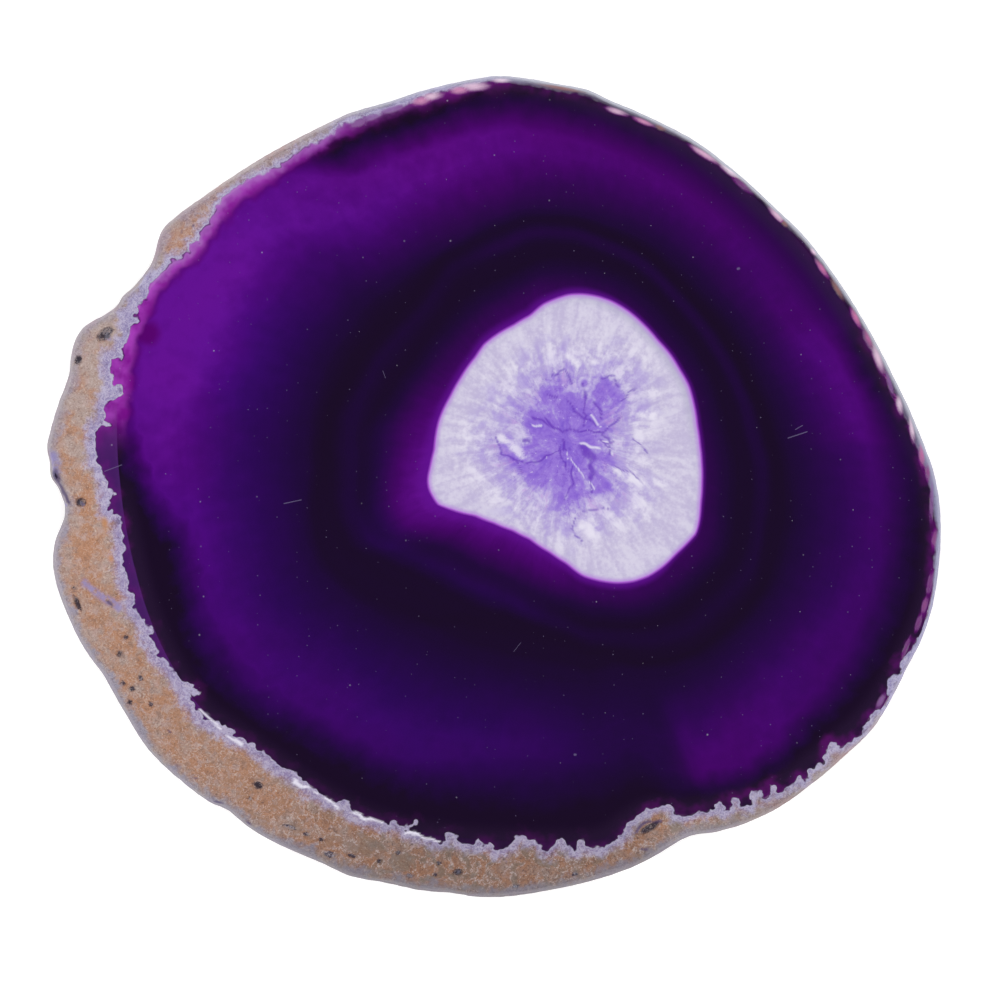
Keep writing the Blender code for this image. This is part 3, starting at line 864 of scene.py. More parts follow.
# Levels go from 0 for nearly black to 1 for bright violet, and widths are shares of the bands.
bandLook = {
    "innerLevel": 0.03,
    "outerLevel": 0.11,
    "lightLineWidth": 0.065,
    "darkLineWidth": 0.05,
    "darkLineDepth": 0.6,
    "glowWarmth": 0.9,
    "drift": 0.02,
    "driftPattern": {"span": 7.0},
    "driftWarmth": 0.4,
    "fibre": 0.34,
    "fibrePattern": {"span": 0.045, "detail": 3.0},
    "ragged": 0.10,
    "fineLine": 0.06,
    "fineLines": 46.0,
    "fineBend": 0.02,
    "finePattern": {"span": 1.0, "detail": 3.0, "rough": 0.7},
    "outerStep": (0.34, 0.41),  # from which band to which band each mask comes in
    "rimStep": (0.58, 0.86),
    "glowStep": (0.24, 0.10),
}


# The level of purple at each place, from 0 for nearly black to 1 for bright violet.
def bandGroup():
    group, entry, leave = newGroup(
        "purpleBands",
        {"Band": "Float", "Turn": "Float", "Spot": "Vector", "Rays": "Vector"},
        {"Level": "Float", "Warmth": "Float"},
    )
    look = bandLook
    drift = evenSpeckle(group, entry["Spot"], look["driftPattern"])
    fibre = evenSpeckle(group, entry["Rays"], look["fibrePattern"])
    band = calc(group, "MULTIPLY_ADD", drift, look["drift"] * 2, entry["Band"])
    run = roundCurves(group, entry["Turn"], bandRuns)

    outer = ease(group, band, *look["outerStep"])
    base = between(group, outer, look["innerLevel"], look["outerLevel"])
    body = calc(group, "SUBTRACT", run["strength"], look["outerLevel"])
    body = times(group, body, ease(group, band, run["rise"], run["full"], "LINEAR"))
    ragged = calc(group, "MULTIPLY_ADD", fibre, look["ragged"], band)
    fade = ease(group, ragged, run["dark"], run["fade"], "LINEAR")
    body = times(group, calc(group, "ADD", base, body), fade)
    glow = times(group, ease(group, band, run["reach"], 0.0), run["glow"])

    away = farFrom(group, band, run["lightLine"])
    light = times(group, ease(group, away, look["lightLineWidth"], 0.0), run["lightness"])
    away = farFrom(group, band, run["darkLine"])
    shade = ease(group, away, look["darkLineWidth"], 0.0)
    shade = calc(group, "MULTIPLY_ADD", shade, -look["darkLineDepth"], 1.0)
    level = calc(group, "ADD", calc(group, "MAXIMUM", body, glow), light)
    thin = addNode(group, "CombineXYZ", {0: times(group, band, look["fineLines"])}).outputs[0]
    bend = vectorCalc(group, "SCALE", entry["Spot"], look["fineBend"])
    line = evenSpeckle(group, vectorCalc(group, "ADD", thin, bend), look["finePattern"])
    level = calc(group, "MULTIPLY_ADD", line, look["fineLine"], times(group, level, shade))
    grain = calc(group, "MULTIPLY_ADD", fibre, look["fibre"], 1.0)
    plug(group, leave["Level"], times(group, level, grain))

    outward = ease(group, band, *look["rimStep"])
    turned = calc(group, "SUBTRACT", run["rimWarmth"], run["warmth"])
    warmth = calc(group, "MULTIPLY_ADD", turned, outward, run["warmth"])
    warmth = calc(group, "MULTIPLY_ADD", drift, look["driftWarmth"], warmth)
    near = times(group, ease(group, band, *look["glowStep"]), look["glowWarmth"])
    plug(group, leave["Warmth"], calc(group, "MAXIMUM", warmth, near, clamp=True))
    return group


markCore = 0.3  # how much of a painted mark's width is at full strength


# A soft straight mark between two places in millimetres, as a mask. The same place twice
# makes a dot.
def markGroup():
    group, entry, leave = newGroup(
        "straightMark",
        {"Spot": "Vector", "From": "Vector", "To": "Vector", "Width": "Float"},
        {"Mask": "Float"},
    )
    ahead = vectorCalc(group, "SUBTRACT", entry["To"], entry["From"])
    away = vectorCalc(group, "SUBTRACT", entry["Spot"], entry["From"])
    share = calc(group, "DIVIDE", vectorCalc(group, "DOT_PRODUCT", away, ahead),
                 vectorCalc(group, "DOT_PRODUCT", ahead, ahead), clamp=True)
    gap = vectorCalc(group, "DISTANCE", away, vectorCalc(group, "SCALE", ahead, share))
    half = calc(group, "MULTIPLY", entry["Width"], 0.5)
    plug(group, leave["Mask"], ease(group, gap, half, times(group, half, markCore)))
    return group


straightMark = markGroup()


# The strongest of a list of marks: two places and a width each, in millimetres.
def markMask(tree, spot, marks):
    total = None
    for fromX, fromY, toX, toY, width in marks:
        mask = useGroup(tree, straightMark, {
            "Spot": spot, "From": (fromX, fromY, 0.0), "To": (toX, toY, 0.0), "Width": width,
        })["Mask"]
        total = mask if total is None else calc(tree, "MAXIMUM", total, mask)
    return total


# How specks of dust differ: the least and the most of their size and of their light.
dustLook = {
    "sizes": (0.4, 1.2),
    "lights": (0.3, 1.0),
    "core": 0.4,
}


# Specks of dust that lie here and there, from the random cells of a pattern.
def dustGroup():
    group, entry, leave = newGroup(
        "dustSpecks",
        {"Spot": "Vector", "Span": "Float", "Share": "Float", "Size": "Float"},
        {"Mask": "Float"},
    )
    scaled = addNode(group, "TexVoronoi", {"Vector": entry["Spot"], "Randomness": 1.0},
                     voronoi_dimensions="2D")
    plug(group, scaled.inputs["Scale"], calc(group, "DIVIDE", 1.0, entry["Span"]))
    chance = addNode(group, "SeparateColor", {0: scaled.outputs["Color"]}).outputs
    gap = times(group, scaled.outputs["Distance"], entry["Span"])
    size = times(group, entry["Size"], between(group, chance[1], *dustLook["sizes"]))
    near = ease(group, gap, size, times(group, size, dustLook["core"]))
    here = calc(group, "LESS_THAN", chance[0], entry["Share"])
    bright = between(group, chance[2], *dustLook["lights"])
    plug(group, leave["Mask"], times(group, near, here, bright))
    return group


dustSpecks = dustGroup()

# The agate's colours. A colour with a number is a layer, and the number is its full strength.
agateLook = {
    "violet": ((0.0, seen(27, 13, 38)), (0.1, seen(30, 12, 50)), (0.2, seen(33, 11, 60)),
               (0.4, seen(42, 9, 82)), (0.6, seen(54, 10, 102)), (0.8, seen(69, 10, 125)),
               (1.0, seen(86, 18, 147))),
    "warm": ((0.0, seen(27, 13, 38)), (0.1, seen(30, 12, 50)), (0.2, seen(36, 11, 60)),
             (0.4, seen(54, 8, 81)), (0.6, seen(71, 6, 102)), (0.8, seen(87, 10, 124)),
             (1.0, seen(106, 18, 148))),
    "heartLine": seen(176, 92, 214),
    "heartShine": (seen(98, 18, 146), 0.9),
    "magenta": (seen(126, 20, 142), seen(172, 68, 190)),
    "magentaEdge": {"base": -1.2, "arcGap": 1.0, "wider": 0.3, "wave": 2.4},
    "flush": seen(168, 104, 188),
    "fringe": seen(112, 18, 124),
    "fringeStrength": 0.8,
    "glow": (seen(112, 18, 124), 0.7),
    "deepMagenta": seen(86, 2, 102),
    "deepStrength": 0.75,
    "lumpStrength": 0.85,
    "lumpBend": 0.15,
    "rimHaze": (seen(58, 38, 72), 0.55),
    # the painted sheen of the worn zone, and its near-black where no sheen is painted
    "wornSheen": seen(70, 26, 100),
    "wornDark": seen(30, 11, 42),
    "wornStrength": 0.9,
    "shadow": (seen(66, 16, 84), 0.7),
    "shadowPlace": -0.08,
    "dust": (seen(150, 138, 178), 0.35),
    "dustPattern": {"Span": 1.1, "Size": 0.08},
    "dustShares": (0.04, 0.54),
    "fleck": (seen(214, 206, 226), 0.3),
    "fleckPattern": {"Span": 5.5, "Share": 0.35, "Size": 0.12},
    "scratch": (seen(150, 138, 178), 0.32),
}

# From where to where each mask of the agate comes in: millimetres, or a level of noise.
agateSteps = {
    "shine": (-1.0, 0.0),
    "heartLine": (-0.32, 0.0),
    "wider": (0.4, 1.0),
    "deep": (-2.1, -0.9),
    "magentaTone": (0.7, 0.32),
    "flushGap": (-1.2, 0.1),
    "flushTurn": (0.0, 0.4),
    "magenta": (-1.5, -0.3),
    "haze": (-2.2, -0.2),
    "worn": (-0.03, 0.05),
    "fringeGap": (-1.3, -0.05),
    "fringeWave": (0.35, 0.6),
    "glow": (0.05, 0.45),
    "glowTint": (0.1, 0.3),
    "shadow": (0.16, 0.02),
    "shadowWave": (0.5, 0.58),
    "dustWave": (0.46, 0.72),
    "scratchHeight": (1.0, 3.0),
}

# How the agate runs out at its rim, by direction: the bright magenta edge, the dye along the rind,
# the paler flush, the width of the heart's shine in millimetres, the haze near the edge, and how
# much painted sheen lightens the worn zone.
agateRuns = {
    "magenta": ((0, 0.0), (92, 0.0), (104, 0.2), (122, 0.35), (130, 0.9), (146, 1.0), (172, 1.0),
                (177, 0.8), (183, 0.0), (360, 0.0)),
    "fringe": ((0, 0.55), (15, 0.35), (30, 0.15), (70, 0.1), (95, 0.45), (130, 0.8), (185, 0.6),
               (200, 0.4), (215, 0.25), (240, 0.2), (290, 0.4), (303, 0.55), (320, 0.6),
               (345, 0.65), (360, 0.55)),
    "flush": ((0, 0.0), (105, 0.0), (117, 0.3), (131, 0.35), (137, 0.5), (146, 1.0), (151, 0.95),
              (158, 0.4), (165, 0.0), (360, 0.0)),
    "shine": ((0, 0.8), (60, 0.8), (90, 1.3), (120, 1.4), (150, 1.3), (180, 1.7), (200, 2.1),
              (215, 1.7), (240, 1.5), (270, 1.2), (300, 1.2), (318, 0.7), (360, 0.8)),
    "haze": ((0, 0.5), (30, 0.7), (75, 0.6), (100, 0.3), (118, 0.0), (180, 0.0), (195, 0.5),
             (270, 0.4), (300, 0.5), (360, 0.5)),
    "worn": ((0, 0.1), (90, 0.1), (105, 0.7), (130, 1.0), (205, 1.0), (222, 0.6), (240, 0.25),
             (270, 0.1), (360, 0.1)),
}

# Fine scratches and dots on the polished face, and the lump of deep dye at the left edge: two
# places and a width each, in millimetres.
scratches = (
    (32.8, 5.4, 34.9, 6.1, 0.17), (33.6, 6.35, 34.4, 6.8, 0.13),
    (-23.4, -1.9, -21.5, -1.5, 0.15), (-43.4, 1.7, -41.5, 2.4, 0.13),
    (-12.4, 12.9, -12.1, 12.1, 0.09), (2.2, -18.4, 3.0, -17.4, 0.07),
    (27.2, 24.27, 27.3, 24.3, 0.4), (9.0, -29.9, 9.1, -29.9, 0.35),
)
dyeLump = ((-39.6, 17.3, -38.6, 17.1, 4.0),)


def agateColour(tree, parts):
    look, step = agateLook, agateSteps
    spot, wave, jagged = parts["spot"], parts["wave"], parts["jagged"]
    bands = useGroup(tree, bandGroup(), {
        "Band": parts["band"], "Turn": parts["turn"], "Spot": spot, "Rays": parts["rays"],
    })
    run = roundCurves(tree, parts["turn"], agateRuns)
    cool = ramp(tree, bands["Level"], look["violet"])
    warm = ramp(tree, bands["Level"], look["warm"])
    colour = mixed(tree, bands["Warmth"], cool, warm)

    shine = ease(tree, calc(tree, "DIVIDE", parts["heartGap"], run["shine"]), *step["shine"])
    colour = laid(tree, shine, colour, look["heartShine"])
    line = ease(tree, parts["heartGap"], *step["heartLine"])
    colour = mixed(tree, line, colour, look["heartLine"])

    wider = ease(tree, run["flush"], *step["wider"])
    edge = summed(tree, {**parts, "wider": wider}, look["magentaEdge"])
    deep = times(tree, ease(tree, edge, *step["deep"]), run["magenta"], look["deepStrength"])
    bend = vectorCalc(tree, "SCALE", parts["tangle"], look["lumpBend"])
    lump = markMask(tree, vectorCalc(tree, "ADD", spot, bend), dyeLump)
    deep = calc(tree, "MAXIMUM", deep, times(tree, lump, look["lumpStrength"]))
    colour = mixed(tree, deep, colour, look["deepMagenta"])
    magenta = mixed(tree, ease(tree, wave, *step["magentaTone"]), *look["magenta"])
    flush = ease(tree, jagged, *step["flushGap"])
    flush = times(tree, flush, ease(tree, run["flush"], *step["flushTurn"]))
    magenta = mixed(tree, flush, magenta, look["flush"])
    bright = times(tree, ease(tree, edge, *step["magenta"]), run["magenta"])
    colour = mixed(tree, bright, colour, magenta)
    haze = times(tree, ease(tree, parts["arcGap"], *step["haze"]), run["haze"])
    colour = laid(tree, haze, colour, look["rimHaze"])

    # The worn zone beyond the polished edge: a painted sheen lightens it at the left, where it
    # catches the light; elsewhere it is near-black.
    worn = ease(tree, parts["arcGap"], *step["worn"])
    wornColour = mixed(tree, run["worn"], look["wornDark"], look["wornSheen"])
    wornColour = mixed(tree, run["magenta"], wornColour, magenta)
    colour = laid(tree, worn, colour, (wornColour, look["wornStrength"]))
    fringe = times(tree, ease(tree, jagged, *step["fringeGap"]), run["fringe"])
    fringe = times(tree, fringe, ease(tree, wave, *step["fringeWave"]))
    fringeColour = mixed(tree, run["magenta"], look["fringe"], magenta)
    colour = laid(tree, fringe, colour, (fringeColour, look["fringeStrength"]))
    glow = ease(tree, parts["bloom"], *step["glow"])
    glow = times(tree, glow, ease(tree, parts["tint"], *step["glowTint"]))
    colour = laid(tree, glow, colour, look["glow"])
    shadow = ease(tree, farFrom(tree, jagged, look["shadowPlace"]), *step["shadow"])
    shadow = times(tree, shadow, ease(tree, wave, *step["shadowWave"]), run["worn"])
    colour = laid(tree, shadow, colour, look["shadow"])

    share = between(tree, ease(tree, wave, *step["dustWave"]), *look["dustShares"])
    dust = useGroup(tree, dustSpecks, {"Spot": spot, "Share": share, **look["dustPattern"]})
    colour = laid(tree, dust["Mask"], colour, look["dust"])
    flecks = useGroup(tree, dustSpecks, {"Spot": spot, **look["fleckPattern"]})
    colour = laid(tree, flecks["Mask"], colour, look["fleck"])
    scratch = markMask(tree, spot, scratches)
    scratch = times(tree, scratch, ease(tree, parts["height"], *step["scratchHeight"]))
    return laid(tree, scratch, colour, look["scratch"])


# The heart's colours, the noise in it, and the sums of noise and gaps that place them.
heartLook = {
    "milk": (seen(198, 188, 221), seen(219, 213, 234)),
    "white": (seen(238, 233, 248), 0.75),
    "lilac": (seen(178, 162, 223), 0.55),
    "vein": (seen(146, 112, 212), 0.22),
    # the grey of the painted shade inside the heart's edge
    "grey": seen(184, 180, 206),
    "edge": (seen(186, 140, 222), 0.8),
    "core": ((0.0, seen(122, 84, 208)), (0.35, seen(142, 104, 215)), (0.6, seen(153, 118, 219)),
             (0.8, seen(166, 144, 220)), (1.0, seen(186, 170, 226))),
    "coreStrength": 0.94,
    "haloStrength": 0.38,
    "fold": (seen(98, 42, 182), 0.4),
    "crack": (seen(98, 42, 182), 0.65),
    "magenta": (seen(170, 96, 210), 0.35),
    "glitterHighlight": (seen(240, 236, 250), 0.7),
    "ring": (seen(240, 236, 250), 0.3),
    "bubble": (10.1, 11.5, 0.0),
    "bubbleRadius": 0.6,
    "sugarPattern": {"span": 0.5, "detail": 3.0, "rough": 0.7},
    "streakPattern": {"span": 0.07, "bend": 0.2},
    "featherStretch": (5.0, 5.0, 26.0),
    "featherPattern": {"span": 1.0, "detail": 3.0, "bend": 1.0},
    "cloudPattern": {"span": 1.9, "bend": 0.5},
    "milkSum": {"base": 0.5, "streak": 0.6, "sugar": 0.5},
    "mottleSum": {"feather": 0.6, "cloud": 0.6, "sugar": 0.15, "streak": 0.15},
    "toneSum": {"base": 0.66, "coreGap": 0.06, "cloud": 1.5, "sugar": 1.0, "streak": 0.5},
    "coreSum": {"base": -1.3, "coreGap": 1.0, "mottle": 3.5, "wave": 2.2},
    "foldSum": {"cloud": 1.0, "sugar": 0.25},
    "rosySum": {"feather": 1.0, "sugar": 0.6},
}

# From where to where each mask of the heart comes in.
heartSteps = {
    "milk": (0.36, 0.64),
    "white": (0.0, 0.16),
    "whiteGap": (7.0, 2.0),
    "lilac": (0.03, -0.13),
    "lilacGap": (7.0, 0.5),
    "vein": (0.035, 0.0),
    "veinGap": (4.5, 0.5),
    # where the painted shade inside the heart's edge comes in
    "grey": (1.5, 0.2),
    "edge": (0.6, 0.0),
    "halo": (4.5, 0.0),
    "core": (1.8, -1.8),
    "flake": (-0.2, 0.06),
    "fold": (0.012, 0.0),
    "foldGap": (2.5, -1.0),
    "rosy": (0.07, 0.2),
    "rosyGap": (1.8, 0.2),
    "glitterHighlight": (0.15, 0.24),
    "glitterHighlightGap": (0.5, -1.0),
    "ring": (0.35, 0.0),
}

# How strongly painted shade greys the heart along its edge, by direction.
heartEdgeShadeRun = ((0, 0.3), (20, 0.8), (65, 0.8), (100, 0.25), (330, 0.2), (360, 0.3))


def heartColour(tree, parts):
    look, step = heartLook, heartSteps
    coreGap, heartGap = parts["coreGap"], parts["heartGap"]
    feather = vectorCalc(tree, "MULTIPLY", parts["rays"], look["featherStretch"])
    noises = {
        "coreGap": coreGap,
        "wave": parts["wave"],
        "sugar": evenSpeckle(tree, parts["spot"], look["sugarPattern"]),
        "streak": evenSpeckle(tree, parts["rays"], look["streakPattern"]),
        "feather": evenSpeckle(tree, feather, look["featherPattern"]),
        "cloud": evenSpeckle(tree, parts["spot"], look["cloudPattern"]),
    }
    mottle = noises["mottle"] = summed(tree, noises, look["mottleSum"])
    milk = summed(tree, noises, look["milkSum"])
    colour = mixed(tree, ease(tree, milk, *step["milk"]), *look["milk"])
    pale = ease(tree, mottle, *step["white"])
    pale = times(tree, pale, ease(tree, coreGap, *step["whiteGap"]))
    colour = laid(tree, pale, colour, look["white"])
    lilac = ease(tree, mottle, *step["lilac"])
    lilac = times(tree, lilac, ease(tree, coreGap, *step["lilacGap"]))
    colour = laid(tree, lilac, colour, look["lilac"])
    veins = ease(tree, calc(tree, "ABSOLUTE", noises["streak"]), *step["vein"])
    veins = times(tree, veins, ease(tree, coreGap, *step["veinGap"]))
    colour = laid(tree, veins, colour, look["vein"])

    # Painted shade: a grey inside the heart's edge, strongest at the top right.
    side = roundCurve(tree, parts["turn"], heartEdgeShadeRun)
    shade = times(tree, ease(tree, heartGap, *step["grey"]), side)
    colour = mixed(tree, shade, colour, look["grey"])
    colour = laid(tree, ease(tree, heartGap, *step["edge"]), colour, look["edge"])

    core = ramp(tree, summed(tree, noises, look["toneSum"]), look["core"])
    out = summed(tree, noises, look["coreSum"])
    halo = times(tree, ease(tree, out, *step["halo"]), look["haloStrength"])
    inCore = times(tree, ease(tree, out, *step["core"]), look["coreStrength"])
    colour = mixed(tree, calc(tree, "MAXIMUM", halo, inCore), colour, core)
    flake = times(tree, parts["paleMark"], ease(tree, mottle, *step["flake"]))
    colour = laid(tree, flake, colour, look["white"])

    fold = calc(tree, "ABSOLUTE", summed(tree, noises, look["foldSum"]))
    fold = times(tree, ease(tree, fold, *step["fold"]), ease(tree, coreGap, *step["foldGap"]))
    colour = laid(tree, fold, colour, look["fold"])
    rosy = ease(tree, summed(tree, noises, look["rosySum"]), *step["rosy"])
    nearCore = ease(tree, calc(tree, "ABSOLUTE", coreGap), *step["rosyGap"])
    colour = laid(tree, times(tree, rosy, nearCore), colour, look["magenta"])
    colour = laid(tree, parts["darkMark"], colour, look["crack"])
    # Painted highlights: white sparkles of light on the crystals of the core.
    glitterHighlight = ease(tree, noises["sugar"], *step["glitterHighlight"])
    glitterHighlight = times(tree, glitterHighlight, ease(tree, coreGap, *step["glitterHighlightGap"]))
    colour = laid(tree, glitterHighlight, colour, look["glitterHighlight"])
    # A painted highlight in a thin ring round a bubble.
    bubble = vectorCalc(tree, "DISTANCE", parts["spot"], look["bubble"])
    ring = ease(tree, farFrom(tree, bubble, look["bubbleRadius"]), *step["ring"])
    return laid(tree, ring, colour, look["ring"])


# The rind's colours, the noise in it, and the sums of noise and gaps that place them.
rindLook = {
    "tan": seen(176, 152, 144),
    "orange": seen(184, 132, 100),
    "pink": (seen(190, 160, 154), 0.8),
    "rust": (seen(150, 106, 84), 0.6),
    "pale": seen(192, 174, 168),
    "green": seen(126, 124, 118),
    "string": (seen(224, 218, 224), 0.85),
    # the dark of the painted shadow beside the strings
    "stringShadow": (seen(96, 84, 88), 0.8),
    # the colour that the painted shade multiplies in
    "sideShade": seen(204, 194, 190),
    "lilac": seen(142, 132, 186),
    "borderLight": seen(184, 178, 212),
    "borderStrength": 0.85,
    # the pale of the painted highlight along the crests
    "crest": (seen(184, 178, 212), 0.55),
    "crevice": (seen(64, 42, 96), 0.55),
    "darkMark": (seen(64, 42, 96), 0.8),
    "rimGrey": seen(156, 154, 164),
    "thinInner": seen(76, 64, 92),
    "thinOuter": seen(184, 187, 200),
    "thinBlue": (seen(146, 145, 186), 0.7),
    # the pale blue of the painted highlights in the pits
    "pitDark": seen(54, 46, 70),
    "pitHighlight": seen(176, 186, 210),
    "pitStrength": 0.85,
    "veinStrength": 0.8,
    "grainDark": (seen(104, 76, 70), 0.6),
    "grainLight": (seen(226, 212, 204), 0.65),
    "wall": seen(146, 130, 120),
    "wallPale": seen(180, 170, 166),
    "wallDye": (seen(96, 70, 140), 0.8),
    "broadPattern": {"span": 2.6, "detail": 3.0, "rough": 0.65},
    "swirlPattern": {"span": 1.7, "detail": 3.0, "bend": 0.8},
    "stringPlace": 0.8,
    "stringShadowPlace": 0.7,
    "crestHighlightPlace": 0.13,
    "warmSum": {"base": -0.4, "broad": 1.0, "orange": 0.3, "fine": 0.5},
    "swirlSum": {"swirl": 1.0, "fine": 0.6},
    "thinSum": {"skinGap": 1.0, "fine": 0.4},
    "outerSum": {"base": 2.7, "skinGap": 1.0, "fine": -2.0, "broad": -3.6},
    "outerShare": {"base": 0.9, "pale": -0.7},
    "borderSum": {"base": 1.3, "rindGap": 1.0, "fine": -2.6, "border": -1.0},
    "grainSum": {"grain": 1.0, "fine": 1.0},
    "sideShadeSum": {"base": 0.9, "edging": -0.6},
    "pitSum": {"base": 1.1, "pit": 1.0, "grain": -2.0, "fine": -1.8},
}

# From where to where each mask of the rind comes in.
rindSteps = {
    "orange": (0.4, 0.64),
    "pink": (0.5, 0.66),
    "rust": (0.46, 0.34),
    "string": (0.06, 0.0),
    "stringGrain": (0.46, 0.58),
    "stringShadow": (0.05, 0.0),
    "stringShadowGrain": (0.5, 0.38),
    "green": (0.76, 0.92),
    "bleach": (0.6, 0.4),
    "thinRim": (1.1, 0.35),
    "outer": (1.7, 0.4),
    "outerBlue": (0.3, 0.7),
    "border": (0.7, -0.5),
    "borderTone": (0.85, 1.2),
    "crest": (0.15, 0.02),
    "crevice": (0.42, 0.3),
    "creviceGap": (1.4, 0.2),
    "grainCrust": (-0.6, 1.0),
    "grainBorder": (1.6, 0.0),
    "grainDark": (0.52, 0.22),
    "grainLight": (0.5, 0.85),
    "pit": (-0.2, 0.3),
    "pitTone": (0.95, 1.12),
    "vein": (0.3, 0.55),
    "wallHeight": (1.9, 1.0),
    "wallPale": (0.44, 0.6),
    "wallDye": (0.46, 0.3),
    "wallGrain": (0.46, 0.3),
    "wallFoot": (0.0, 0.1),
}

# How the rind changes round the slice: its share of tan, the crust against the smooth rim, the
# width of its lilac border, how pale, blue, orange or green it is, and how much painted shade
# darkens it.
rindRuns = {
    "tan": ((0, 0.0), (112, 0.0), (124, 0.35), (135, 0.75), (150, 0.85), (165, 0.95), (290, 1.0),
            (300, 0.95), (314, 0.8), (326, 0.2), (360, 0.0)),
    "crust": ((0, 0.0), (88, 0.0), (100, 0.4), (125, 1.0), (318, 1.0), (332, 0.6), (346, 0.1),
              (360, 0.0)),
    "border": ((0, 0.8), (100, 0.6), (130, 0.4), (152, 0.4), (165, 1.2), (195, 1.1), (215, 1.2),
               (240, 1.1), (255, 0.8), (285, 0.8), (293, 0.7), (302, 0.55), (316, 0.55),
               (328, 0.9), (360, 0.8)),
    "pale": ((0, 0.5), (118, 0.9), (143, 0.8), (150, 0.2), (160, 0.3), (200, 0.0), (288, 0.0),
             (296, 0.5), (325, 0.8), (360, 0.5)),
    "blue": ((0, 0.4), (20, 0.1), (60, 0.05), (95, 0.1), (120, 0.4), (150, 0.4), (200, 0.3),
             (290, 0.3), (318, 0.8), (345, 0.9), (360, 0.5)),
    "orange": ((0, 0.3), (138, 0.25), (147, 0.9), (153, 0.9), (158, 0.3), (185, 0.6), (210, 0.8),
               (240, 0.8), (262, 0.8), (300, 0.5), (360, 0.3)),
    "green": ((0, 0.0), (200, 0.1), (240, 0.25), (252, 0.6), (285, 0.5), (300, 0.3), (320, 0.0),
              (360, 0.0)),
    "sideShade": ((0, 0.2), (130, 0.0), (180, 0.0), (205, 0.2), (232, 0.5), (255, 0.9), (280, 0.85),
            (289, 0.5), (296, 0.6), (305, 0.6), (313, 0.3), (360, 0.2)),
}


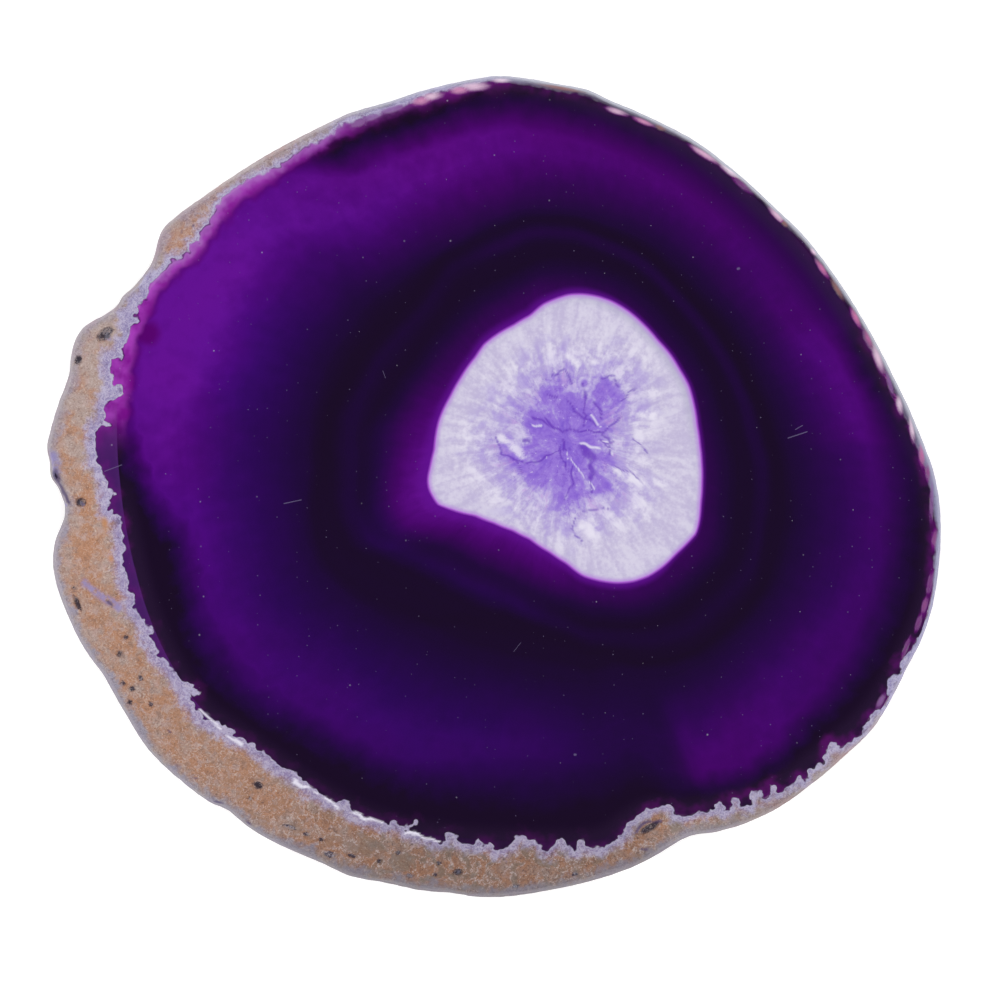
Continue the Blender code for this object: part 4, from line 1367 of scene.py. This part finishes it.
def rindColour(tree, parts):
    look, step = rindLook, rindSteps
    fine, grain = parts["fine"], parts["grain"]
    run = roundCurves(tree, parts["turn"], rindRuns)
    values = {**parts, **run}
    broad = values["broad"] = speckle(tree, parts["spot"], **look["broadPattern"])
    values["swirl"] = speckle(tree, parts["spot"], **look["swirlPattern"])
    warm = ease(tree, summed(tree, values, look["warmSum"]), *step["orange"])
    colour = mixed(tree, warm, look["tan"], look["orange"])
    colour = laid(tree, ease(tree, fine, *step["pink"]), colour, look["pink"])
    colour = laid(tree, ease(tree, fine, *step["rust"]), colour, look["rust"])
    swirl = summed(tree, values, look["swirlSum"])
    green = times(tree, ease(tree, swirl, *step["green"]), run["green"])
    colour = mixed(tree, green, colour, look["green"])
    string = ease(tree, farFrom(tree, swirl, look["stringPlace"]), *step["string"])
    string = times(tree, string, ease(tree, grain, *step["stringGrain"]), run["sideShade"])
    colour = laid(tree, string, colour, look["string"])
    # Painted shadow: a dark line beside each light string.
    stringShadow = ease(tree, farFrom(tree, swirl, look["stringShadowPlace"]), *step["stringShadow"])
    stringShadow = times(tree, stringShadow, ease(tree, grain, *step["stringShadowGrain"]), run["sideShade"])
    colour = laid(tree, stringShadow, colour, look["stringShadow"])
    bleach = times(tree, ease(tree, broad, *step["bleach"]), run["pale"])
    colour = mixed(tree, bleach, colour, look["pale"])

    thinRim = ease(tree, summed(tree, values, look["thinSum"]), *step["thinRim"])
    thin = mixed(tree, thinRim, look["thinInner"], look["thinOuter"])
    thin = laid(tree, run["blue"], thin, look["thinBlue"])
    colour = mixed(tree, run["tan"], thin, colour)
    blue = times(tree, run["blue"], ease(tree, broad, *step["outerBlue"]))
    grey = mixed(tree, blue, look["rimGrey"], look["lilac"])
    outer = ease(tree, summed(tree, values, look["outerSum"]), *step["outer"])
    share = times(tree, run["tan"], summed(tree, values, look["outerShare"]))
    colour = mixed(tree, times(tree, outer, share), colour, grey)

    tone = ease(tree, summed(tree, values, look["grainSum"]), *step["borderTone"])
    border = mixed(tree, tone, look["lilac"], look["borderLight"])
    border = mixed(tree, run["crust"], thin, border)
    edging = ease(tree, summed(tree, values, look["borderSum"]), *step["border"])
    edging = values["edging"] = times(tree, edging, look["borderStrength"])
    colour = mixed(tree, edging, colour, border)
    # Painted highlight: a pale line along the crests just inside the rind's edge.
    crest = ease(tree, farFrom(tree, parts["jagged"], look["crestHighlightPlace"]), *step["crest"])
    colour = laid(tree, times(tree, crest, run["crust"]), colour, look["crest"])
    crevice = ease(tree, fine, *step["crevice"])
    crevice = times(tree, crevice, ease(tree, parts["rindGap"], *step["creviceGap"]))
    colour = laid(tree, crevice, colour, look["crevice"])

    grains = ease(tree, run["crust"], *step["grainCrust"])
    grains = times(tree, grains, ease(tree, edging, *step["grainBorder"]))
    dark = times(tree, ease(tree, grain, *step["grainDark"]), grains)
    colour = laid(tree, dark, colour, look["grainDark"])
    light = times(tree, ease(tree, grain, *step["grainLight"]), grains)
    colour = laid(tree, light, colour, look["grainLight"])
    # Painted shade: the rind is darker towards the bottom and lower right, not at the left.
    sideShade = times(tree, run["sideShade"], summed(tree, values, look["sideShadeSum"]))
    colour = mixed(tree, sideShade, colour, look["sideShade"], "MULTIPLY")
    # Pits: dark, with painted highlights of pale blue on their crystals.
    inPit = ease(tree, summed(tree, values, look["pitSum"]), *step["pit"])
    tone = ease(tree, summed(tree, values, look["grainSum"]), *step["pitTone"])
    pit = mixed(tree, tone, look["pitDark"], look["pitHighlight"])
    colour = laid(tree, inPit, colour, (pit, look["pitStrength"]))
    vein = times(tree, parts["paleMark"], ease(tree, fine, *step["vein"]))
    veinColour = mixed(tree, inPit, look["lilac"], look["pitHighlight"])
    colour = laid(tree, vein, colour, (veinColour, look["veinStrength"]))
    colour = laid(tree, parts["darkMark"], colour, look["darkMark"])

    wall = mixed(tree, ease(tree, fine, *step["wallPale"]), look["wall"], look["wallPale"])
    wall = laid(tree, ease(tree, fine, *step["wallDye"]), wall, look["wallDye"])
    wall = laid(tree, ease(tree, grain, *step["wallGrain"]), wall, look["grainDark"])
    side = ease(tree, parts["height"], *step["wallHeight"])
    side = times(tree, side, ease(tree, parts["height"], *step["wallFoot"]))
    return mixed(tree, side, colour, wall)


# The glints on the thin rim: their tints, from orange and brown through lilac and magenta to pink
# and white, and how they fade. The pale pink and white tints are painted highlights.
glintLook = {
    "tints": ((0.0, seen(190, 132, 86)), (0.1, seen(138, 92, 92)), (0.17, seen(140, 96, 164)),
              (0.25, seen(112, 30, 116)), (0.5, seen(196, 104, 160)), (0.75, seen(222, 172, 206)),
              (1.0, seen(230, 214, 230))),
    "petalSum": {"base": -0.15, "bloom": 1.0, "fine": 0.3},
    "petalStep": (0.15, 0.95),
    "strength": 0.95,
    # the colour of the painted highlights on the slivers and in the heart
    "paintedHighlight": seen(240, 236, 250),
    "paintedHighlightStrengths": (0.85, 0.65),  # on the slivers and in the heart
}

# How softly and how raggedly the rind begins, by direction, in millimetres.
rimSoftness = ((0, 0.26), (88, 0.26), (104, 0.2), (134, 0.2), (148, 0.1), (158, 0.06),
               (325, 0.06), (342, 0.2), (360, 0.26))
scallopRun = ((0, 0.4), (95, 0.4), (118, 1.0), (150, 1.1), (325, 1.1), (340, 0.5), (360, 0.4))

# The noise that the whole slice shares. Spans are in millimetres.
sharedNoise = {
    "raySpan": 50.0,
    "tangleSpan": 1.2,
    "wave": {"span": 2.5, "detail": 3.0},
    "fine": {"span": 0.9, "detail": 4.0, "rough": 0.65},
    "grain": {"span": 0.42, "rough": 0.6, "bend": 2.2},
    "scallop": {"span": 0.8, "detail": 1.0},
}

# How rough each part of the slice is, and its finest relief.
finish = {
    "polish": 0.09,
    "quartz": 0.12,
    "worn": 0.2,
    "sliver": 0.3,
    "crust": 0.78,
    "crustGrain": 0.3,
    "back": 0.42,
    "heartStep": (-0.1, 0.1),
    "wornStep": (-0.02, 0.1),
    "backStep": (0.3, 0.02),
    "leastSoftness": 0.05,
    "reliefSum": {"grain": 0.4, "fine": 0.8},
    "grainHeight": 0.16 * mm,
    "sawHeight": 0.012 * mm,
    "sawMiddle": (160.0, 30.0, 0.0),
    "sawSpan": 0.9,
    "sawBend": 0.4,
}
ringStep = 0.31  # how far apart the wave texture's rings are at a scale of 1


# What the colours are made from: places, the slab's own values, directions and shared noise.
def surfaceParts(tree):
    look = sharedNoise
    spot = vectorCalc(tree, "SCALE", addNode(tree, "TexCoord").outputs["Object"], 1 / mm)
    flat = vectorCalc(tree, "MULTIPLY", spot, (1.0, 1.0, 0.0))
    parts = {"spot": flat, "height": addNode(tree, "SeparateXYZ", {0: spot}).outputs[2]}
    for name in slab.data.attributes.keys():
        if slab.data.attributes[name].data_type == "FLOAT":
            parts[name] = addNode(tree, "Attribute", attribute_name=name).outputs["Fac"]
    away = vectorCalc(tree, "SUBTRACT", flat, (*heartMiddle, 0.0))
    split = addNode(tree, "SeparateXYZ", {0: away}).outputs
    angle = calc(tree, "ARCTAN2", split[1], split[0])
    parts["turn"] = calc(tree, "FRACT", calc(tree, "MULTIPLY_ADD", angle, 1 / math.tau, 1.0))
    parts["rays"] = addNode(tree, "CombineXYZ", {
        0: calc(tree, "COSINE", angle),
        1: calc(tree, "SINE", angle),
        2: times(tree, parts["heartGap"], 1 / look["raySpan"]),
    }).outputs[0]
    inputs = {"Vector": flat, "Scale": 1 / look["tangleSpan"], "Detail": 2.0}
    tangle = addNode(tree, "TexNoise", inputs).outputs["Color"]
    tangle = vectorCalc(tree, "SUBTRACT", tangle, (0.5, 0.5, 0.5))
    parts["tangle"] = vectorCalc(tree, "MULTIPLY", tangle, (2.0, 2.0, 0.0))
    parts["wave"] = speckle(tree, flat, **look["wave"])
    parts["fine"] = speckle(tree, spot, **look["fine"])
    parts["grain"] = speckle(tree, spot, **look["grain"])
    scallop = evenSpeckle(tree, spot, look["scallop"])
    scallop = times(tree, scallop, roundCurve(tree, parts["turn"], scallopRun))
    parts["jagged"] = calc(tree, "ADD", parts["rindGap"], scallop)
    return parts


def slabMaterial():
    material = bpy.data.materials.new("dyedAgate")
    material.use_nodes = True
    tree = material.node_tree
    shader = tree.nodes["Principled BSDF"]
    parts = surfaceParts(tree)
    agate = agateColour(tree, parts)
    heart = heartColour(tree, parts)
    rind = rindColour(tree, parts)
    inHeart = ease(tree, parts["heartGap"], *finish["heartStep"])
    soft = roundCurve(tree, parts["turn"], rimSoftness)
    soft = calc(tree, "MAXIMUM", soft, finish["leastSoftness"])
    inRind = ease(tree, parts["jagged"], calc(tree, "MULTIPLY", soft, -1.0), soft)
    colour = mixed(tree, inHeart, agate, heart)
    colour = mixed(tree, inRind, colour, rind)
    petal = ease(tree, summed(tree, parts, glintLook["petalSum"]), *glintLook["petalStep"])
    petal = times(tree, petal, glintLook["strength"])
    colour = mixed(tree, petal, colour, ramp(tree, parts["tint"], glintLook["tints"]))
    # Painted highlights: the glints in the heart and on the slivers at the polished edge.
    strength = between(tree, inHeart, *glintLook["paintedHighlightStrengths"])
    paintedHighlight = times(tree, parts["lightMark"], strength)
    colour = mixed(tree, paintedHighlight, colour, glintLook["paintedHighlight"])
    plug(tree, shader.inputs["Base Color"], colour)

    worn = ease(tree, parts["arcGap"], *finish["wornStep"])
    worn = times(tree, worn, finish["worn"] - finish["polish"])
    quartz = times(tree, inHeart, finish["quartz"] - finish["polish"])
    rough = calc(tree, "ADD", calc(tree, "ADD", worn, quartz), finish["polish"])
    under = ease(tree, parts["height"], *finish["backStep"])
    rough = calc(tree, "MAXIMUM", rough, times(tree, under, finish["back"]))
    rough = calc(tree, "MAXIMUM", rough, times(tree, parts["lightMark"], finish["sliver"]))
    dull = calc(tree, "MAXIMUM", inRind, petal)
    smoothest = finish["crust"] - finish["crustGrain"] / 2
    crust = calc(tree, "MULTIPLY_ADD", parts["grain"], finish["crustGrain"], smoothest)
    rough = calc(tree, "MAXIMUM", rough, times(tree, dull, crust))
    plug(tree, shader.inputs["Roughness"], rough)

    saw = addNode(tree, "TexWave", {
        "Vector": vectorCalc(tree, "ADD", parts["spot"], finish["sawMiddle"]),
        "Scale": ringStep / finish["sawSpan"], "Distortion": finish["sawBend"], "Detail": 2.0,
    }, wave_type="RINGS", rings_direction="Z")
    sawn = times(tree, under, saw.outputs["Fac"])
    sawn = addNode(tree, "Bump", {"Height": sawn, "Distance": finish["sawHeight"]}).outputs[0]
    relief = times(tree, summed(tree, parts, finish["reliefSum"]), dull)
    inputs = {"Height": relief, "Distance": finish["grainHeight"], "Normal": sawn}
    plug(tree, shader.inputs["Normal"], addNode(tree, "Bump", inputs).outputs[0])
    return material


slab.data.materials.append(slabMaterial())
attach(slab, "root")
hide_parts("agate_slice")
print("the agate is coloured")

# The table, the light and the camera.
studio = {
    "tableSize": 2.0,
    "tableSides": 96,
    "tableDrop": 0.02 * mm,
    "tableColour": (0.92, 0.92, 0.93, 1.0),
    "tableRoughness": 0.7,
    "tableGlow": 0.3,
    "domeStrength": 1.4,
    "discStrength": 0.01,
    "discReach": math.radians(20),  # the dark disc overhead keeps the polished face deep
    "discEdge": 0.015,
    "cameraHeight": 0.6,
    "cameraMiddle": (0.67 * mm, -1.51 * mm),
    "cameraSpan": 112.1 * mm,
    "sensor": 36.0,
    "clipEnd": 10.0,
}


def buildTable():
    bm = bmesh.new()
    size, sides = studio["tableSize"], studio["tableSides"]
    bmesh.ops.create_circle(bm, cap_ends=True, segments=sides, radius=size)
    for vert in bm.verts:
        vert.co.z = lowCorner.z - studio["tableDrop"]
    mesh = bpy.data.meshes.new("table")
    bm.to_mesh(mesh)
    bm.free()
    table = bpy.data.objects.new("table", mesh)
    material = bpy.data.materials.new("paleTable")
    material.use_nodes = True
    shader = material.node_tree.nodes["Principled BSDF"]
    shader.inputs["Base Color"].default_value = studio["tableColour"]
    shader.inputs["Roughness"].default_value = studio["tableRoughness"]
    shader.inputs["Emission Color"].default_value = (1.0, 1.0, 1.0, 1.0)
    shader.inputs["Emission Strength"].default_value = studio["tableGlow"]
    mesh.materials.append(material)
    bpy.context.scene.collection.objects.link(table)


def lightStudio():
    world = bpy.data.worlds.new("whiteDome")
    world.use_nodes = True
    tree = world.node_tree
    background = tree.nodes["Background"]
    background.inputs["Color"].default_value = (1.0, 1.0, 1.0, 1.0)
    direction = addNode(tree, "TexCoord").outputs["Generated"]
    height = addNode(tree, "SeparateXYZ", {0: direction}).outputs[2]
    edge = math.cos(studio["discReach"])
    bright = ease(tree, height, edge + studio["discEdge"], edge - studio["discEdge"])
    strength = between(tree, bright, studio["discStrength"], studio["domeStrength"])
    plug(tree, background.inputs["Strength"], strength)
    bpy.context.scene.world = world


def placeCamera():
    camera = bpy.data.objects.new("camera", bpy.data.cameras.new("camera"))
    camera.data.sensor_width = studio["sensor"]
    height = studio["cameraHeight"]
    camera.data.lens = studio["sensor"] * height / studio["cameraSpan"]
    camera.location = (*studio["cameraMiddle"], height + slabMesh["widestHeight"])
    camera.data.clip_end = studio["clipEnd"]
    bpy.context.scene.collection.objects.link(camera)
    bpy.context.scene.camera = camera


buildTable()
lightStudio()
placeCamera()
bpy.context.scene.view_settings.view_transform = "Standard"
print("the studio is lit")
